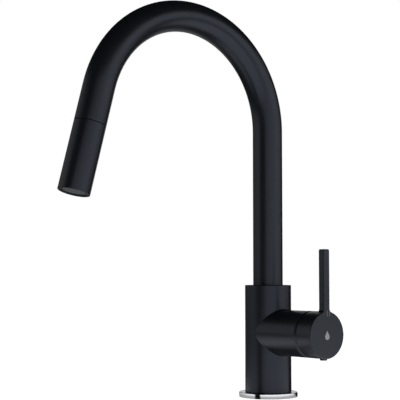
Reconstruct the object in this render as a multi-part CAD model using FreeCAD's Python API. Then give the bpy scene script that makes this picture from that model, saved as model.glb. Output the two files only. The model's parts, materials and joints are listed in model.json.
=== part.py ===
import FreeCAD, Part
import math
import os

from FreeCAD import Placement, Rotation, Vector

# A single-lever kitchen faucet with a pull-down spray head.
# Millimetres. The origin is on the worktop's surface, on the body's axis.
# +Z is up, the spout reaches out along -Y and the lever side points along +X.

# ---- driving dimensions -------------------------------------------------

WORKTOP = 30.0            # worktop thickness that the clamp is drawn at

RING_R = 29.05            # base ring
RING_H = 5.0

BODY_R = 23.0             # upright body
BODY_TOP = 110.5
HOUSING_R = 22.4          # side housing that holds the cartridge
HANDLE_Z = 63.8           # height of the lever's axis
HOUSING_END = 62.65
GAP = 1.3                 # dark gap between the housing and the lever's cap

TUBE_R = 14.8             # spout tube, outside
TUBE_WALL = 1.5
ARCH_Z = 263.8            # where the riser turns into the arch
ARCH_R = 103.5            # radius of the arch's centre line
ARCH_TURN = 165.0         # degrees; the leg then leans 15 degrees outwards
JOINT_S = 36.5            # along the leg: the joint between spout and head
OUTLET_S = 101.0          # along the leg: the outlet's rim
JOINT_GAP = 0.4

LEVER_FACE = 83.0         # front face of the lever
LEVER_THICK = 7.2
LEVER_WIDTH = 7.7
LEVER_TOP = 145.0
LEVER_LIFT = 20.0         # degrees of travel from closed to fully open
SWIVEL_HALF = 60.0        # degrees the spout turns each way

PIVOT_X = 49.0            # the lever's tilting pin
HOSE_R = 5.5
HOSE_BORE_R = 3.6
PORT_RADIUS = 11.3        # the three water ports stand on this circle
PORT_R = 3.5              # minor radius of the M8 port threads
INLET_TURN = 60.0         # degrees from +X to each inlet port
SHANK_R = 17.0
SHANK_BORE_R = 15.2
SHANK_END = -62.0

# ---- derived dimensions -------------------------------------------------

TUBE_BORE_R = TUBE_R - TUBE_WALL
CAP_START = HOUSING_END + GAP
CAP_WALL = 1.2
LIP_R = HOUSING_R - CAP_WALL
CAP_FLOOR = LEVER_FACE - 7.7
LIP_SWING = math.hypot(CAP_START - PIVOT_X, LIP_R)
DOME_R = LIP_SWING - 0.75
HOUSING_CHAMFER_X = HOUSING_END - (PIVOT_X + math.sqrt((LIP_SWING - 0.5) ** 2 - HOUSING_R ** 2))
HOUSING_CHAMFER_R = HOUSING_R - math.sqrt((LIP_SWING - 0.5) ** 2 - (HOUSING_END - PIVOT_X) ** 2)

FLOOR_Z = 20.0            # the body's floor, where the ports open downwards
FOOT_BOTTOM = 80.0
FOOT_BORE_Z = 78.0
FOOT_BORE_R = 13.05
FOOT_R = 12.7
RECESS_Z = BODY_TOP - 4.0
GLIDE_WASHER = 1.1
TUBE_BOTTOM = RECESS_Z + GLIDE_WASHER

SEAT_X = 24.0             # the cartridge's seat
SHOULDER_X = 50.0         # the cartridge's shoulder, under its nut
CARTRIDGE_R = 17.5
CHAMBER_R = 17.6
NUT_BORE_R = 19.5
INLET_OFFSET = 9.2        # cartridge ports: sideways from the lever's axis
INLET_DROP = 5.5
OUTLET_RISE = 9.0

LOCK_Z = 93.0             # the screw that keeps and limits the spout
LOCK_R = 2.5
DOG_R = 1.7

GRUB_X = 77.7             # the grub screw that holds the lever
GRUB_R = 2.0
SPINDLE = 8.0             # the square spindle's side
PIN_R = 1.5               # the tilting pin
PIN_HALF = 10.5
PLAY = 0.3                # running clearance between plastic parts

CLOSE = 0.01              # how near two lengths count as equal

X_AXIS = Vector(1, 0, 0)
Y_AXIS = Vector(0, 1, 0)
Z_AXIS = Vector(0, 0, 1)

# The leg's own frame: local Z runs down the leg, local X stays along +X.
LEG_START = Vector(0, -ARCH_R * (1 - math.cos(math.radians(ARCH_TURN))),
                   ARCH_Z + ARCH_R * math.sin(math.radians(ARCH_TURN)))
ON_LEG = Placement(LEG_START, Rotation(X_AXIS, ARCH_TURN))

# The lever's own frame: local Z runs along +X, its zero is on the body's axis.
ON_LEVER = Placement(Vector(0, 0, HANDLE_Z), Rotation(Y_AXIS, 90))


# ---- helpers ------------------------------------------------------------

def rod(radius, start, end, x=0.0, y=0.0):
    """A cylinder along Z between two heights."""
    return Part.makeCylinder(radius, end - start, Vector(x, y, start))


def sleeve(outer, inner, start, end, x=0.0, y=0.0):
    """A plain tube along Z."""
    return rod(outer, start, end, x, y).cut(rod(inner, start, end, x, y))


def turned(points):
    """A solid of revolution about Z from (radius, height) points."""
    corners = [Vector(radius, 0, height) for radius, height in points]
    wire = Part.makePolygon(corners + corners[:1])
    return Part.Face(wire).revolve(Vector(0, 0, 0), Z_AXIS, 360)


def block(low, high):
    """A box between two corners."""
    size = Vector(*high).sub(Vector(*low))
    return Part.makeBox(size.x, size.y, size.z, Vector(*low))


def hexagon(flats, start, end):
    """A hexagonal bar along Z, by its width across flats."""
    corner_r = flats / math.sqrt(3)
    corners = [Vector(corner_r * math.cos(math.radians(turn)), corner_r * math.sin(math.radians(turn)), start)
               for turn in range(0, 361, 60)]
    return Part.Face(Part.makePolygon(corners)).extrude(Z_AXIS * (end - start))


def cut_all(shape, cutters):
    """shape with every cutter taken away."""
    for cutter in cutters:
        shape = shape.cut(cutter)
    return shape


def fuse_all(shapes):
    """The shapes joined into one solid."""
    whole = shapes[0]
    for shape in shapes[1:]:
        whole = whole.fuse(shape)
    return whole.removeSplitter()


def placed(shape, placement):
    """A copy of shape moved into another frame."""
    moved = shape.copy()
    moved.Placement = placement.multiply(moved.Placement)
    return moved


def circles_at(shape, height, radius):
    """The round edges of that radius lying at that height."""
    found = []
    for edge in shape.Edges:
        curve = edge.Curve
        if not isinstance(curve, Part.Circle):
            continue
        if abs(curve.Radius - radius) < CLOSE and abs(curve.Center.z - height) < CLOSE:
            found.append(edge)
    return found


def spout_path(bottom, leg_end):
    """The spout's centre line: up the riser, round the arch and down the leg."""
    top = Vector(0, 0, ARCH_Z)
    half = math.radians(ARCH_TURN / 2)
    crown = Vector(0, -ARCH_R * (1 - math.cos(half)), ARCH_Z + ARCH_R * math.sin(half))
    end = ON_LEG.multVec(Vector(0, 0, leg_end))
    riser = Part.LineSegment(Vector(0, 0, bottom), top).toShape()
    arch = Part.Arc(top, crown, LEG_START).toShape()
    leg = Part.LineSegment(LEG_START, end).toShape()
    return Part.Wire([riser, arch, leg])


def swept(radius, bottom, leg_end):
    """A round bar along the spout's centre line."""
    ring = Part.Wire(Part.Circle(Vector(0, 0, bottom), Z_AXIS, radius).toShape())
    return spout_path(bottom, leg_end).makePipeShell([ring], True, False)


def port_place(turn):
    """x and y of a port on the port circle."""
    return PORT_RADIUS * math.cos(math.radians(turn)), PORT_RADIUS * math.sin(math.radians(turn))


# ---- base and clamp -----------------------------------------------------

GASKET_IN = 19.0
GASKET_OUT = 26.5
GASKET_H = 1.5
RING_EDGE = 0.7
RING_FIT = 0.2
SHANK_CHAMFER = 0.8


def base_ring():
    """Polished ring that covers the edge of the worktop's hole."""
    ring = sleeve(RING_R, SHANK_R + RING_FIT, 0, RING_H)
    ring = ring.makeFillet(RING_EDGE, circles_at(ring, RING_H, RING_R))
    return ring.cut(sleeve(GASKET_OUT, GASKET_IN, 0, GASKET_H))


def base_gasket():
    """Soft ring in the base ring's groove."""
    return sleeve(GASKET_OUT, GASKET_IN, 0, GASKET_H)


def threaded_shank():
    """Brass tube, M34 outside, screwed into the body from below."""
    shank = sleeve(SHANK_R, SHANK_BORE_R, SHANK_END, FLOOR_Z)
    return shank.makeChamfer(SHANK_CHAMFER, circles_at(shank, SHANK_END, SHANK_R))


WASHER_R = 27.0
RUBBER_H = 3.0
STEEL_H = 2.0
CLAMP_NUT_H = 10.0
CLAMP_NUT_FLATS = 44.0
NUT_CORNER = 3.6          # how far the nut's corners stand past its flats
NUT_CROWN = 2.0           # height of the crown turned on the corners


def clamp_washer_rubber():
    """Soft washer that bears on the worktop's underside."""
    return sleeve(WASHER_R, SHANK_R + PLAY, -WORKTOP - RUBBER_H, -WORKTOP)


def clamp_washer_steel():
    """Steel washer between the nut and the soft washer."""
    top = -WORKTOP - RUBBER_H
    return sleeve(WASHER_R - 1, SHANK_R + PLAY, top - STEEL_H, top)


def clamp_nut():
    """Hexagonal brass nut on the shank."""
    top = -WORKTOP - RUBBER_H - STEEL_H
    foot = top - CLAMP_NUT_H
    flat = CLAMP_NUT_FLATS / 2
    corner = flat + NUT_CORNER
    crown = turned([(0, foot), (flat, foot), (corner, foot + NUT_CROWN), (corner, top), (0, top)])
    return hexagon(CLAMP_NUT_FLATS, foot, top).common(crown).cut(rod(SHANK_R, foot, top))


# ---- body ---------------------------------------------------------------

HOSE_WAY_R = 6.8
WATERWAY_R = 2.9
THREAD_DEPTH = 12.0
BODY_EDGE = 0.9
RECESS_FIT = 0.3
LOCK_START = 10.0         # the lock screw's hole starts inside the foot's bore


def valve_body():
    """Cast brass body: upright barrel and side housing in one."""
    barrel = rod(BODY_R, RING_H, BODY_TOP)
    barrel = barrel.makeFillet(BODY_EDGE, circles_at(barrel, BODY_TOP, BODY_R))
    housing = turned([(0, 0), (HOUSING_R, 0), (HOUSING_R, HOUSING_END - HOUSING_CHAMFER_X),
                      (HOUSING_R - HOUSING_CHAMFER_R, HOUSING_END), (0, HOUSING_END)])
    body = barrel.fuse(placed(housing, ON_LEVER)).removeSplitter()
    cutters = [rod(SHANK_R, RING_H, FLOOR_Z), rod(HOSE_WAY_R, FLOOR_Z, FOOT_BORE_Z),
               rod(FOOT_BORE_R, FOOT_BORE_Z, RECESS_Z), rod(TUBE_R + RECESS_FIT, RECESS_Z, BODY_TOP)]
    chamber = fuse_all([rod(CHAMBER_R, SEAT_X, SHOULDER_X), rod(NUT_BORE_R, SHOULDER_X, HOUSING_END)])
    cutters.append(placed(chamber, ON_LEVER))
    for side in (1, -1):
        x, y = port_place(side * INLET_TURN)
        cutters.append(rod(PORT_R, FLOOR_Z, FLOOR_Z + THREAD_DEPTH, x, y))
        cutters.append(rod(WATERWAY_R, FLOOR_Z, HANDLE_Z - INLET_DROP + WATERWAY_R, x, y))
        cutters.append(placed(rod(WATERWAY_R, x, SEAT_X, INLET_DROP, side * INLET_OFFSET), ON_LEVER))
    x, y = port_place(0)
    cutters.append(rod(PORT_R, FLOOR_Z, FLOOR_Z + THREAD_DEPTH, x, y))
    cutters.append(rod(WATERWAY_R, FLOOR_Z, HANDLE_Z + OUTLET_RISE, x, y))
    cutters.append(placed(rod(WATERWAY_R, x, SEAT_X, -OUTLET_RISE, 0), ON_LEVER))
    cutters.append(Part.makeCylinder(LOCK_R, BODY_R, Vector(0, LOCK_START, LOCK_Z), Y_AXIS))
    return cut_all(body, cutters)


LOCK_SUNK = 0.7           # the lock screw sits this far below the surface
LOCK_KEY = 2.5
DOG_REACH = 2.2
KEY_DEPTH = 3.0


def swivel_lock_screw():
    """Grub screw in the body's back: its dog runs in the foot's slot."""
    outer_end = BODY_R - LOCK_SUNK
    start = FOOT_BORE_R + 0.6
    thread = Part.makeCylinder(LOCK_R, outer_end - start, Vector(0, start, LOCK_Z), Y_AXIS)
    dog = Part.makeCylinder(DOG_R, DOG_REACH + 1, Vector(0, start - DOG_REACH, LOCK_Z), Y_AXIS)
    socket = hexagon(LOCK_KEY, 0, KEY_DEPTH)
    socket.Placement = Placement(Vector(0, outer_end - KEY_DEPTH, LOCK_Z), Rotation(X_AXIS, -90))
    return fuse_all([thread, dog]).cut(socket)


PIPE_R = 3.4
PIPE_BORE_R = 2.4
PIPE_END = -104.0
COUPLING_TOP = -90.0
COUPLING_L = 12.0         # the coupling's wide part
COUPLING_R = 5.0
COLLET_R = 5.6            # its release collar
OUTLET_STUB_R = 4.4
OUTLET_BORE_R = PIPE_BORE_R + 0.6
PIPE_STOP = 4.0           # the pipe ends this far above the coupling's mouth


def outlet_pipe():
    """Brass pipe that takes mixed water down through the shank."""
    x, y = port_place(0)
    pipe = rod(PIPE_R, PIPE_END + PIPE_STOP, FLOOR_Z, x, y)
    thread = rod(PORT_R, FLOOR_Z, FLOOR_Z + THREAD_DEPTH - 2, x, y)
    return fuse_all([pipe, thread]).cut(rod(PIPE_BORE_R, PIPE_END, FLOOR_Z + THREAD_DEPTH, x, y))


def outlet_coupling():
    """Push-in coupling at the pipe's lower end."""
    x, y = port_place(0)
    bulk = fuse_all([rod(COUPLING_R, COUPLING_TOP - COUPLING_L, COUPLING_TOP, x, y),
                     rod(COLLET_R, COUPLING_TOP - 8, COUPLING_TOP - 4, x, y),
                     rod(OUTLET_STUB_R, PIPE_END, COUPLING_TOP - COUPLING_L, x, y)])
    stop = PIPE_END + PIPE_STOP
    return cut_all(bulk, [rod(PIPE_R, stop, COUPLING_TOP, x, y), rod(OUTLET_BORE_R, PIPE_END, stop, x, y)])


# ---- cartridge ----------------------------------------------------------

BASE_TOP = 28.0
FIXED_TOP = 31.0
MOVING_TOP = 34.0
CARRIER_TOP = 38.2
TURRET_BACK = 38.6
TURRET_SHOULDER = 47.6
TURRET_END = 54.0
CASE_BORE_R = 15.3
NECK_R = 12.0
DISC_R = 12.5
SLIDE_DISC_R = 11.0
SEAL_R = 4.3
SEAL_H = 1.2
DISC_PORT_R = 2.5
DISC_PORT_SHARE = 0.8     # the fixed disc's ports stand nearer the middle
POCKET_R = 5.0            # mixing pocket in the moving disc
POCKET_DEPTH = 1.6
POCKET_OFFSET = -3.0


def cartridge_port_places():
    """Local x and y of the cartridge's two inlets and its outlet."""
    return [(INLET_DROP, INLET_OFFSET), (INLET_DROP, -INLET_OFFSET), (-OUTLET_RISE, 0.0)]


def cartridge_base():
    """Plastic base plate with three ports and seal seats."""
    base = rod(CARTRIDGE_R, SEAT_X, BASE_TOP)
    for x, y in cartridge_port_places():
        base = base.cut(rod(WATERWAY_R, SEAT_X, BASE_TOP, x, y))
        base = base.cut(rod(SEAL_R, SEAT_X, SEAT_X + SEAL_H, x, y))
    return placed(base, ON_LEVER)


def cartridge_seals():
    """Three rubber rings between the base plate and the seat."""
    rings = [sleeve(SEAL_R, WATERWAY_R, SEAT_X, SEAT_X + SEAL_H, x, y) for x, y in cartridge_port_places()]
    return placed(Part.makeCompound(rings), ON_LEVER)


def fixed_ceramic_disc():
    """Ceramic disc that stands still on the base plate."""
    disc = rod(DISC_R, BASE_TOP, FIXED_TOP)
    for x, y in cartridge_port_places():
        disc = disc.cut(rod(DISC_PORT_R, BASE_TOP, FIXED_TOP, x * DISC_PORT_SHARE, y * DISC_PORT_SHARE))
    return placed(disc, ON_LEVER)


def moving_ceramic_disc():
    """Ceramic disc that slides over the fixed one and mixes the water."""
    disc = rod(SLIDE_DISC_R, FIXED_TOP, MOVING_TOP)
    mixing_pocket = rod(POCKET_R, FIXED_TOP, FIXED_TOP + POCKET_DEPTH, POCKET_OFFSET, 0)
    return placed(disc.cut(mixing_pocket), ON_LEVER)


BALL_R = 2.8              # the spindle's ball end
BALL_X = PIVOT_X - 7.0
BALL_PLAY = 0.25
BOSS_R = 5.0
BOSS_END = BALL_X + 1.5


def disc_carrier():
    """Plastic carrier on the moving disc, with the spindle's socket."""
    plate = rod(SLIDE_DISC_R, MOVING_TOP, CARRIER_TOP)
    boss = rod(BOSS_R, CARRIER_TOP, BOSS_END)
    socket = rod(BALL_R + BALL_PLAY, BALL_X - BALL_R - 2 * BALL_PLAY, BOSS_END)
    return placed(fuse_all([plate, boss]).cut(socket), ON_LEVER)


def cartridge_housing():
    """Plastic case over the discs and the turret."""
    neck = NECK_R + PLAY
    ledge = TURRET_SHOULDER + PLAY
    case = turned([(CASE_BORE_R, BASE_TOP), (CARTRIDGE_R, BASE_TOP), (CARTRIDGE_R, SHOULDER_X),
                   (neck, SHOULDER_X), (neck, ledge), (CASE_BORE_R, ledge)])
    return placed(case, ON_LEVER)


CAVITY_R = 9.0
CAVITY_TOP = BALL_X + 2.2
SLOT_HALF = 8.5           # room for the spindle to tilt
SLOT_PLAY = 0.2


def lever_turret():
    """Plastic turret: turns for temperature and carries the tilting pin."""
    skirt = CASE_BORE_R - PLAY
    turret = turned([(0, TURRET_BACK), (skirt, TURRET_BACK), (skirt, TURRET_SHOULDER),
                     (NECK_R, TURRET_SHOULDER), (NECK_R, TURRET_END), (0, TURRET_END)])
    cavity = rod(CAVITY_R, TURRET_BACK, CAVITY_TOP)
    across = SPINDLE / 2 + SLOT_PLAY
    slot = block((-SLOT_HALF, -across, TURRET_BACK), (SLOT_HALF, across, TURRET_END))
    pin_hole = Part.makeCylinder(PIN_R, 2 * NECK_R, Vector(0, -NECK_R, PIVOT_X), Y_AXIS)
    return placed(cut_all(turret, [cavity, slot, pin_hole]), ON_LEVER)


def pivot_pin():
    """Steel pin that the spindle tilts about."""
    return Part.makeCylinder(PIN_R, 2 * PIN_HALF, Vector(PIVOT_X, -PIN_HALF, HANDLE_Z), Y_AXIS)


CARTRIDGE_NUT_END = 57.0
KEY_SLOT_HALF = 1.5
KEY_SLOT_DEPTH = 2.5


def cartridge_nut():
    """Brass ring nut that holds the cartridge down, with key slots."""
    nut = sleeve(NUT_BORE_R, NECK_R + 1.5, SHOULDER_X, CARTRIDGE_NUT_END)
    for turn in range(0, 180, 45):
        slot = block((-NUT_BORE_R, -KEY_SLOT_HALF, CARTRIDGE_NUT_END - KEY_SLOT_DEPTH),
                     (NUT_BORE_R, KEY_SLOT_HALF, CARTRIDGE_NUT_END))
        nut = nut.cut(placed(slot, Placement(Vector(0, 0, 0), Rotation(Z_AXIS, turn))))
    return placed(nut, ON_LEVER)


DOME_WALL = 1.0
DOME_MOUTH_R = 13.4


def dome_cover():
    """Domed cover over the cartridge, centred on the tilting pin."""
    centre = Vector(0, 0, PIVOT_X)
    shell = Part.makeSphere(DOME_R, centre).cut(Part.makeSphere(DOME_R - DOME_WALL, centre))
    band = sleeve(DOME_R, DOME_MOUTH_R, HOUSING_END, PIVOT_X + DOME_R)
    return placed(shell.common(band), ON_LEVER)


# ---- lever --------------------------------------------------------------

SPINDLE_END = 80.0
SPINDLE_START = PIVOT_X - 3.2
TAIL_R = 2.0
SLEEVE_SIDE = 10.0
SLEEVE_HALF = SLEEVE_SIDE / 2
SOCKET_END = SPINDLE_END + 0.2


def lever_spindle():
    """Steel spindle: square outside, ball-ended inside the cartridge."""
    square = block((-SPINDLE / 2, -SPINDLE / 2, SPINDLE_START), (SPINDLE / 2, SPINDLE / 2, SPINDLE_END))
    tail = rod(TAIL_R, BALL_X, SPINDLE_START)
    ball = Part.makeSphere(BALL_R, Vector(0, 0, BALL_X))
    eye = Part.makeCylinder(PIN_R + 0.05, SPINDLE, Vector(0, -SPINDLE / 2, PIVOT_X), Y_AXIS)
    return placed(fuse_all([square, tail, ball]).cut(eye), ON_LEVER)


FACE_EDGE = 1.1
ROOT_FILLET = 4.0
TIP_CORNER = 1.5
BACK_EDGE = 0.7


def straight_edges(shape, test):
    """The straight edges whose two ends both pass a test."""
    return [edge for edge in shape.Edges
            if isinstance(edge.Curve, Part.Line) and all(test(vertex.Point) for vertex in edge.Vertexes)]


def lever_handle():
    """Cast lever: round cap with a flat disc face and a narrow bar rising from it."""
    back = LEVER_FACE - LEVER_THICK
    half = LEVER_WIDTH / 2
    tip = LEVER_TOP - HANDLE_Z
    bar = block((-tip, -half, back), (0, half, LEVER_FACE))
    lever = rod(HOUSING_R, CAP_START, LEVER_FACE).fuse(bar).removeSplitter()

    def at_root(point):
        return abs(abs(point.y) - half) < CLOSE and abs(math.hypot(point.x, point.y) - HOUSING_R) < CLOSE

    def at_tip(point):
        return abs(point.x + tip) < CLOSE and abs(abs(point.y) - half) < CLOSE

    def on_bar_back(point):
        return abs(point.z - back) < CLOSE and point.x < -HOUSING_R - 2

    roots = [edge for edge in straight_edges(lever, at_root) if edge.Length > LEVER_THICK / 2]
    lever = lever.makeFillet(ROOT_FILLET, roots)
    tips = [edge for edge in straight_edges(lever, at_tip) if abs(edge.Length - LEVER_THICK) < CLOSE]
    lever = lever.makeFillet(TIP_CORNER, tips)
    front = [edge for edge in lever.Edges if all(abs(v.Point.z - LEVER_FACE) < CLOSE for v in edge.Vertexes)]
    lever = lever.makeFillet(FACE_EDGE, front)
    lever = lever.makeFillet(BACK_EDGE, straight_edges(lever, on_bar_back))
    socket = block((-SLEEVE_HALF, -SLEEVE_HALF, CAP_FLOOR), (SLEEVE_HALF, SLEEVE_HALF, SOCKET_END))
    cutters = [rod(LIP_R, CAP_START, CAP_FLOOR), socket, grub_hole(), drop_prism(), tick_prisms()]
    return placed(cut_all(lever, cutters), ON_LEVER)


def spindle_sleeve():
    """Plastic sleeve that takes up the play between spindle and lever."""
    outer = block((-SLEEVE_HALF, -SLEEVE_HALF, CAP_FLOOR), (SLEEVE_HALF, SLEEVE_HALF, SPINDLE_END))
    inner = block((-SPINDLE / 2, -SPINDLE / 2, CAP_FLOOR), (SPINDLE / 2, SPINDLE / 2, SPINDLE_END))
    hole = Part.makeCylinder(GRUB_R, HOUSING_R, Vector(0, 0, GRUB_X), X_AXIS)
    return placed(cut_all(outer, [inner, hole]), ON_LEVER)


GRUB_L = 13.0
GRUB_KEY = 2.0
GRUB_KEY_DEPTH = 2.5


def handle_grub_screw():
    """Grub screw that clamps the lever on its spindle, from below."""
    screw = Part.makeCylinder(GRUB_R, GRUB_L, Vector(SPINDLE / 2, 0, GRUB_X), X_AXIS)
    key_floor = SPINDLE / 2 + GRUB_L - GRUB_KEY_DEPTH
    socket = hexagon(GRUB_KEY, 0, GRUB_KEY_DEPTH)
    socket.Placement = Placement(Vector(key_floor, 0, GRUB_X), Rotation(Y_AXIS, 90))
    return placed(screw.cut(socket), ON_LEVER)


PLUG_R = 3.5
PLUG_STEM_R = 2.9
PLUG_BOTTOM = HOUSING_R - 2.0
PLUG_SHOULDER = HOUSING_R - 0.6
PLUG_TOP = HOUSING_R + 1.4
PLUG_EDGE = 0.5


def grub_hole():
    """Stepped hole from the cap's underside to the spindle."""
    hole = turned([(0, 0), (GRUB_R, 0), (GRUB_R, PLUG_BOTTOM), (PLUG_STEM_R, PLUG_BOTTOM),
                   (PLUG_STEM_R, HOUSING_R + 1), (0, HOUSING_R + 1)])
    return placed(hole, Placement(Vector(0, 0, GRUB_X), Rotation(Y_AXIS, 90)))


def screw_plug():
    """Small push-in plug that hides the grub screw."""
    plug = turned([(0, PLUG_BOTTOM), (PLUG_STEM_R, PLUG_BOTTOM), (PLUG_STEM_R, PLUG_SHOULDER),
                   (PLUG_R, PLUG_SHOULDER), (PLUG_R, PLUG_TOP - PLUG_EDGE), (PLUG_R - PLUG_EDGE, PLUG_TOP),
                   (0, PLUG_TOP)])
    plug = placed(plug, Placement(Vector(0, 0, GRUB_X), Rotation(Y_AXIS, 90)))
    cap_around_hole = rod(HOUSING_R, CAP_START, LEVER_FACE).cut(grub_hole())
    return placed(plug.cut(cap_around_hole), ON_LEVER)


MARK_DEPTH = 0.3
DROP_R = 2.9
DROP_TIP = 8.6
DROP_CENTRE = -1.4
TICK_HEIGHT = 5.5
TICK_WIDTH = 0.9
TICK_RISE = 20.6
TICK_SPREAD = 1.5
TICK_MIDDLE = 1.6


def drop_prism():
    """A water-drop outline, as deep as the inlay. Local -X points up."""
    reach = DROP_TIP - DROP_R
    tangent = math.asin(DROP_R / reach)
    level = LEVER_FACE - MARK_DEPTH
    tip = Vector(-DROP_CENTRE - reach, 0, level)
    left = Vector(-DROP_CENTRE - DROP_R * math.sin(tangent), DROP_R * math.cos(tangent), level)
    right = Vector(left.x, -left.y, level)
    bottom = Vector(-DROP_CENTRE + DROP_R, 0, level)
    edges = [Part.LineSegment(tip, left).toShape(), Part.Arc(left, bottom, right).toShape(),
             Part.LineSegment(right, tip).toShape()]
    return Part.Face(Part.Wire(edges)).extrude(Z_AXIS * MARK_DEPTH)


def tick_prisms():
    """Two short index ticks above the drop."""
    ticks = []
    for side in (-1, 1):
        middle = TICK_MIDDLE + side * TICK_SPREAD
        ticks.append(block((-TICK_RISE - TICK_HEIGHT / 2, middle - TICK_WIDTH / 2, LEVER_FACE - MARK_DEPTH),
                           (-TICK_RISE + TICK_HEIGHT / 2, middle + TICK_WIDTH / 2, LEVER_FACE)))
    return Part.makeCompound(ticks)


def drop_mark():
    """Inlaid water-drop sign in the disc."""
    return placed(drop_prism(), ON_LEVER)


def index_ticks():
    """Two inlaid index ticks at the foot of the bar."""
    return placed(tick_prisms(), ON_LEVER)


# ---- spout --------------------------------------------------------------

def spout_tube():
    """Bent brass tube: riser, round arch and leg in one."""
    end = JOINT_S - JOINT_GAP / 2
    return swept(TUBE_R, TUBE_BOTTOM, end).cut(swept(TUBE_BORE_R, TUBE_BOTTOM, end))


RING_GROOVES = (85.0, 100.0)
GLIDE_H = 3.8
GROOVE_DEPTH = 1.0
GROOVE_PLAY = 0.1
FOOT_BORE = 8.5           # the hose runs through it
FOOT_TOP = TUBE_BOTTOM + 20.0
LOCK_SLOT_R = 11.0
LOCK_SLOT_HALF = 2.0
SLOT_MARGIN = 1.5         # degrees of slot past the stop


def spout_foot():
    """Brass foot brazed into the riser; it turns in the body."""
    foot = turned([(FOOT_BORE, FOOT_BOTTOM), (FOOT_R, FOOT_BOTTOM), (FOOT_R, TUBE_BOTTOM),
                   (TUBE_BORE_R, TUBE_BOTTOM), (TUBE_BORE_R, FOOT_TOP), (FOOT_BORE + 2, FOOT_TOP + 2),
                   (FOOT_BORE, FOOT_TOP - 2)])
    for middle in RING_GROOVES:
        half = GLIDE_H / 2 + GROOVE_PLAY
        foot = foot.cut(sleeve(FOOT_R + 1, FOOT_R - GROOVE_DEPTH, middle - half, middle + half))
    slot_half = SWIVEL_HALF + math.degrees(math.asin(DOG_R / LOCK_SLOT_R)) + SLOT_MARGIN
    low, high = LOCK_Z - LOCK_SLOT_HALF, LOCK_Z + LOCK_SLOT_HALF
    slot_face = Part.Face(Part.makePolygon([Vector(0, LOCK_SLOT_R, low), Vector(0, FOOT_R + 1, low),
                                            Vector(0, FOOT_R + 1, high), Vector(0, LOCK_SLOT_R, high),
                                            Vector(0, LOCK_SLOT_R, low)]))
    slot_face.rotate(Vector(0, 0, 0), Z_AXIS, -slot_half)
    return foot.cut(slot_face.revolve(Vector(0, 0, 0), Z_AXIS, 2 * slot_half))


def foot_glide_rings():
    """Two plastic rings that the foot turns on."""
    rings = [sleeve(FOOT_BORE_R - 0.05, FOOT_R - GROOVE_DEPTH, middle - GLIDE_H / 2, middle + GLIDE_H / 2)
             for middle in RING_GROOVES]
    return Part.makeCompound(rings)


def spout_glide_washer():
    """Plastic washer that carries the spout's weight."""
    return sleeve(TUBE_R, TUBE_BORE_R, RECESS_Z, TUBE_BOTTOM)


BUSH_TOP = 14.0
BUSH_R = 10.6             # the collar docks in this bore
BUSH_HOSE_R = 7.4
BUSH_FLOOR = BUSH_TOP + 2.5
BUSH_FLARE = 1.2          # its mouth flares to lead the collar in
BUSH_LEAD_L = 2.5


def dock_bush():
    """Plastic bush in the spout's mouth: guides the hose and docks the head."""
    end = JOINT_S - JOINT_GAP / 2
    bush = turned([(BUSH_HOSE_R, BUSH_TOP), (TUBE_BORE_R, BUSH_TOP), (TUBE_BORE_R, end),
                   (BUSH_R + BUSH_FLARE, end), (BUSH_R, end - BUSH_LEAD_L), (BUSH_R, BUSH_FLOOR),
                   (BUSH_HOSE_R, BUSH_FLOOR)])
    return placed(bush, ON_LEG)


# ---- spray hose ---------------------------------------------------------

HOSE_TOP_S = 20.0
HOSE_TAIL_Z = -70.0
FERRULE_R = 6.3
FERRULE_L = 12.0
STEM_BORE_R = 2.4
SPIGOT_R = 4.3
SPIGOT_GROOVE_R = 3.5


def spray_hose():
    """Braided hose, from the head up over the arch and down through the body."""
    bar = swept(HOSE_R, HOSE_TAIL_Z, HOSE_TOP_S)
    return bar.cut(swept(HOSE_BORE_R, HOSE_TAIL_Z, HOSE_TOP_S))


def hose_tail_ferrule():
    """Crimped sleeve at the hose's lower end."""
    return sleeve(FERRULE_R, HOSE_R, HOSE_TAIL_Z, HOSE_TAIL_Z + FERRULE_L)


def hose_tail_stem():
    """Plug-in spigot at the hose's lower end."""
    tail = HOSE_TAIL_Z
    return turned([(STEM_BORE_R, tail - 20), (SPIGOT_R, tail - 20), (SPIGOT_R, tail - 12),
                   (SPIGOT_GROOVE_R, tail - 12), (SPIGOT_GROOVE_R, tail - 10), (SPIGOT_R, tail - 10),
                   (SPIGOT_R, tail - 6), (FERRULE_R, tail - 6), (FERRULE_R, tail), (HOSE_BORE_R, tail),
                   (HOSE_BORE_R, tail + FERRULE_L), (STEM_BORE_R, tail + FERRULE_L)])


def hose_ferrule():
    """Crimped sleeve at the hose's upper end."""
    return placed(sleeve(FERRULE_R, HOSE_R, HOSE_TOP_S - FERRULE_L, HOSE_TOP_S - 0.5), ON_LEG)


STEM_R = 4.2
FLANGE_R = 5.0
FLANGE_START = HOSE_TOP_S + 3.0
FLANGE_END = HOSE_TOP_S + 5.0
STEM_END = 46.0


def hose_stem():
    """Brass stem that the head's nut turns on."""
    top = HOSE_TOP_S
    stem = turned([(STEM_BORE_R, top - FERRULE_L), (HOSE_BORE_R, top - FERRULE_L), (HOSE_BORE_R, top),
                   (STEM_R, top), (STEM_R, FLANGE_START), (FLANGE_R, FLANGE_START), (FLANGE_R, FLANGE_END),
                   (STEM_R, FLANGE_END), (STEM_R, STEM_END), (STEM_BORE_R, STEM_END)])
    return placed(stem, ON_LEG)


# ---- spray head ---------------------------------------------------------

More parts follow.
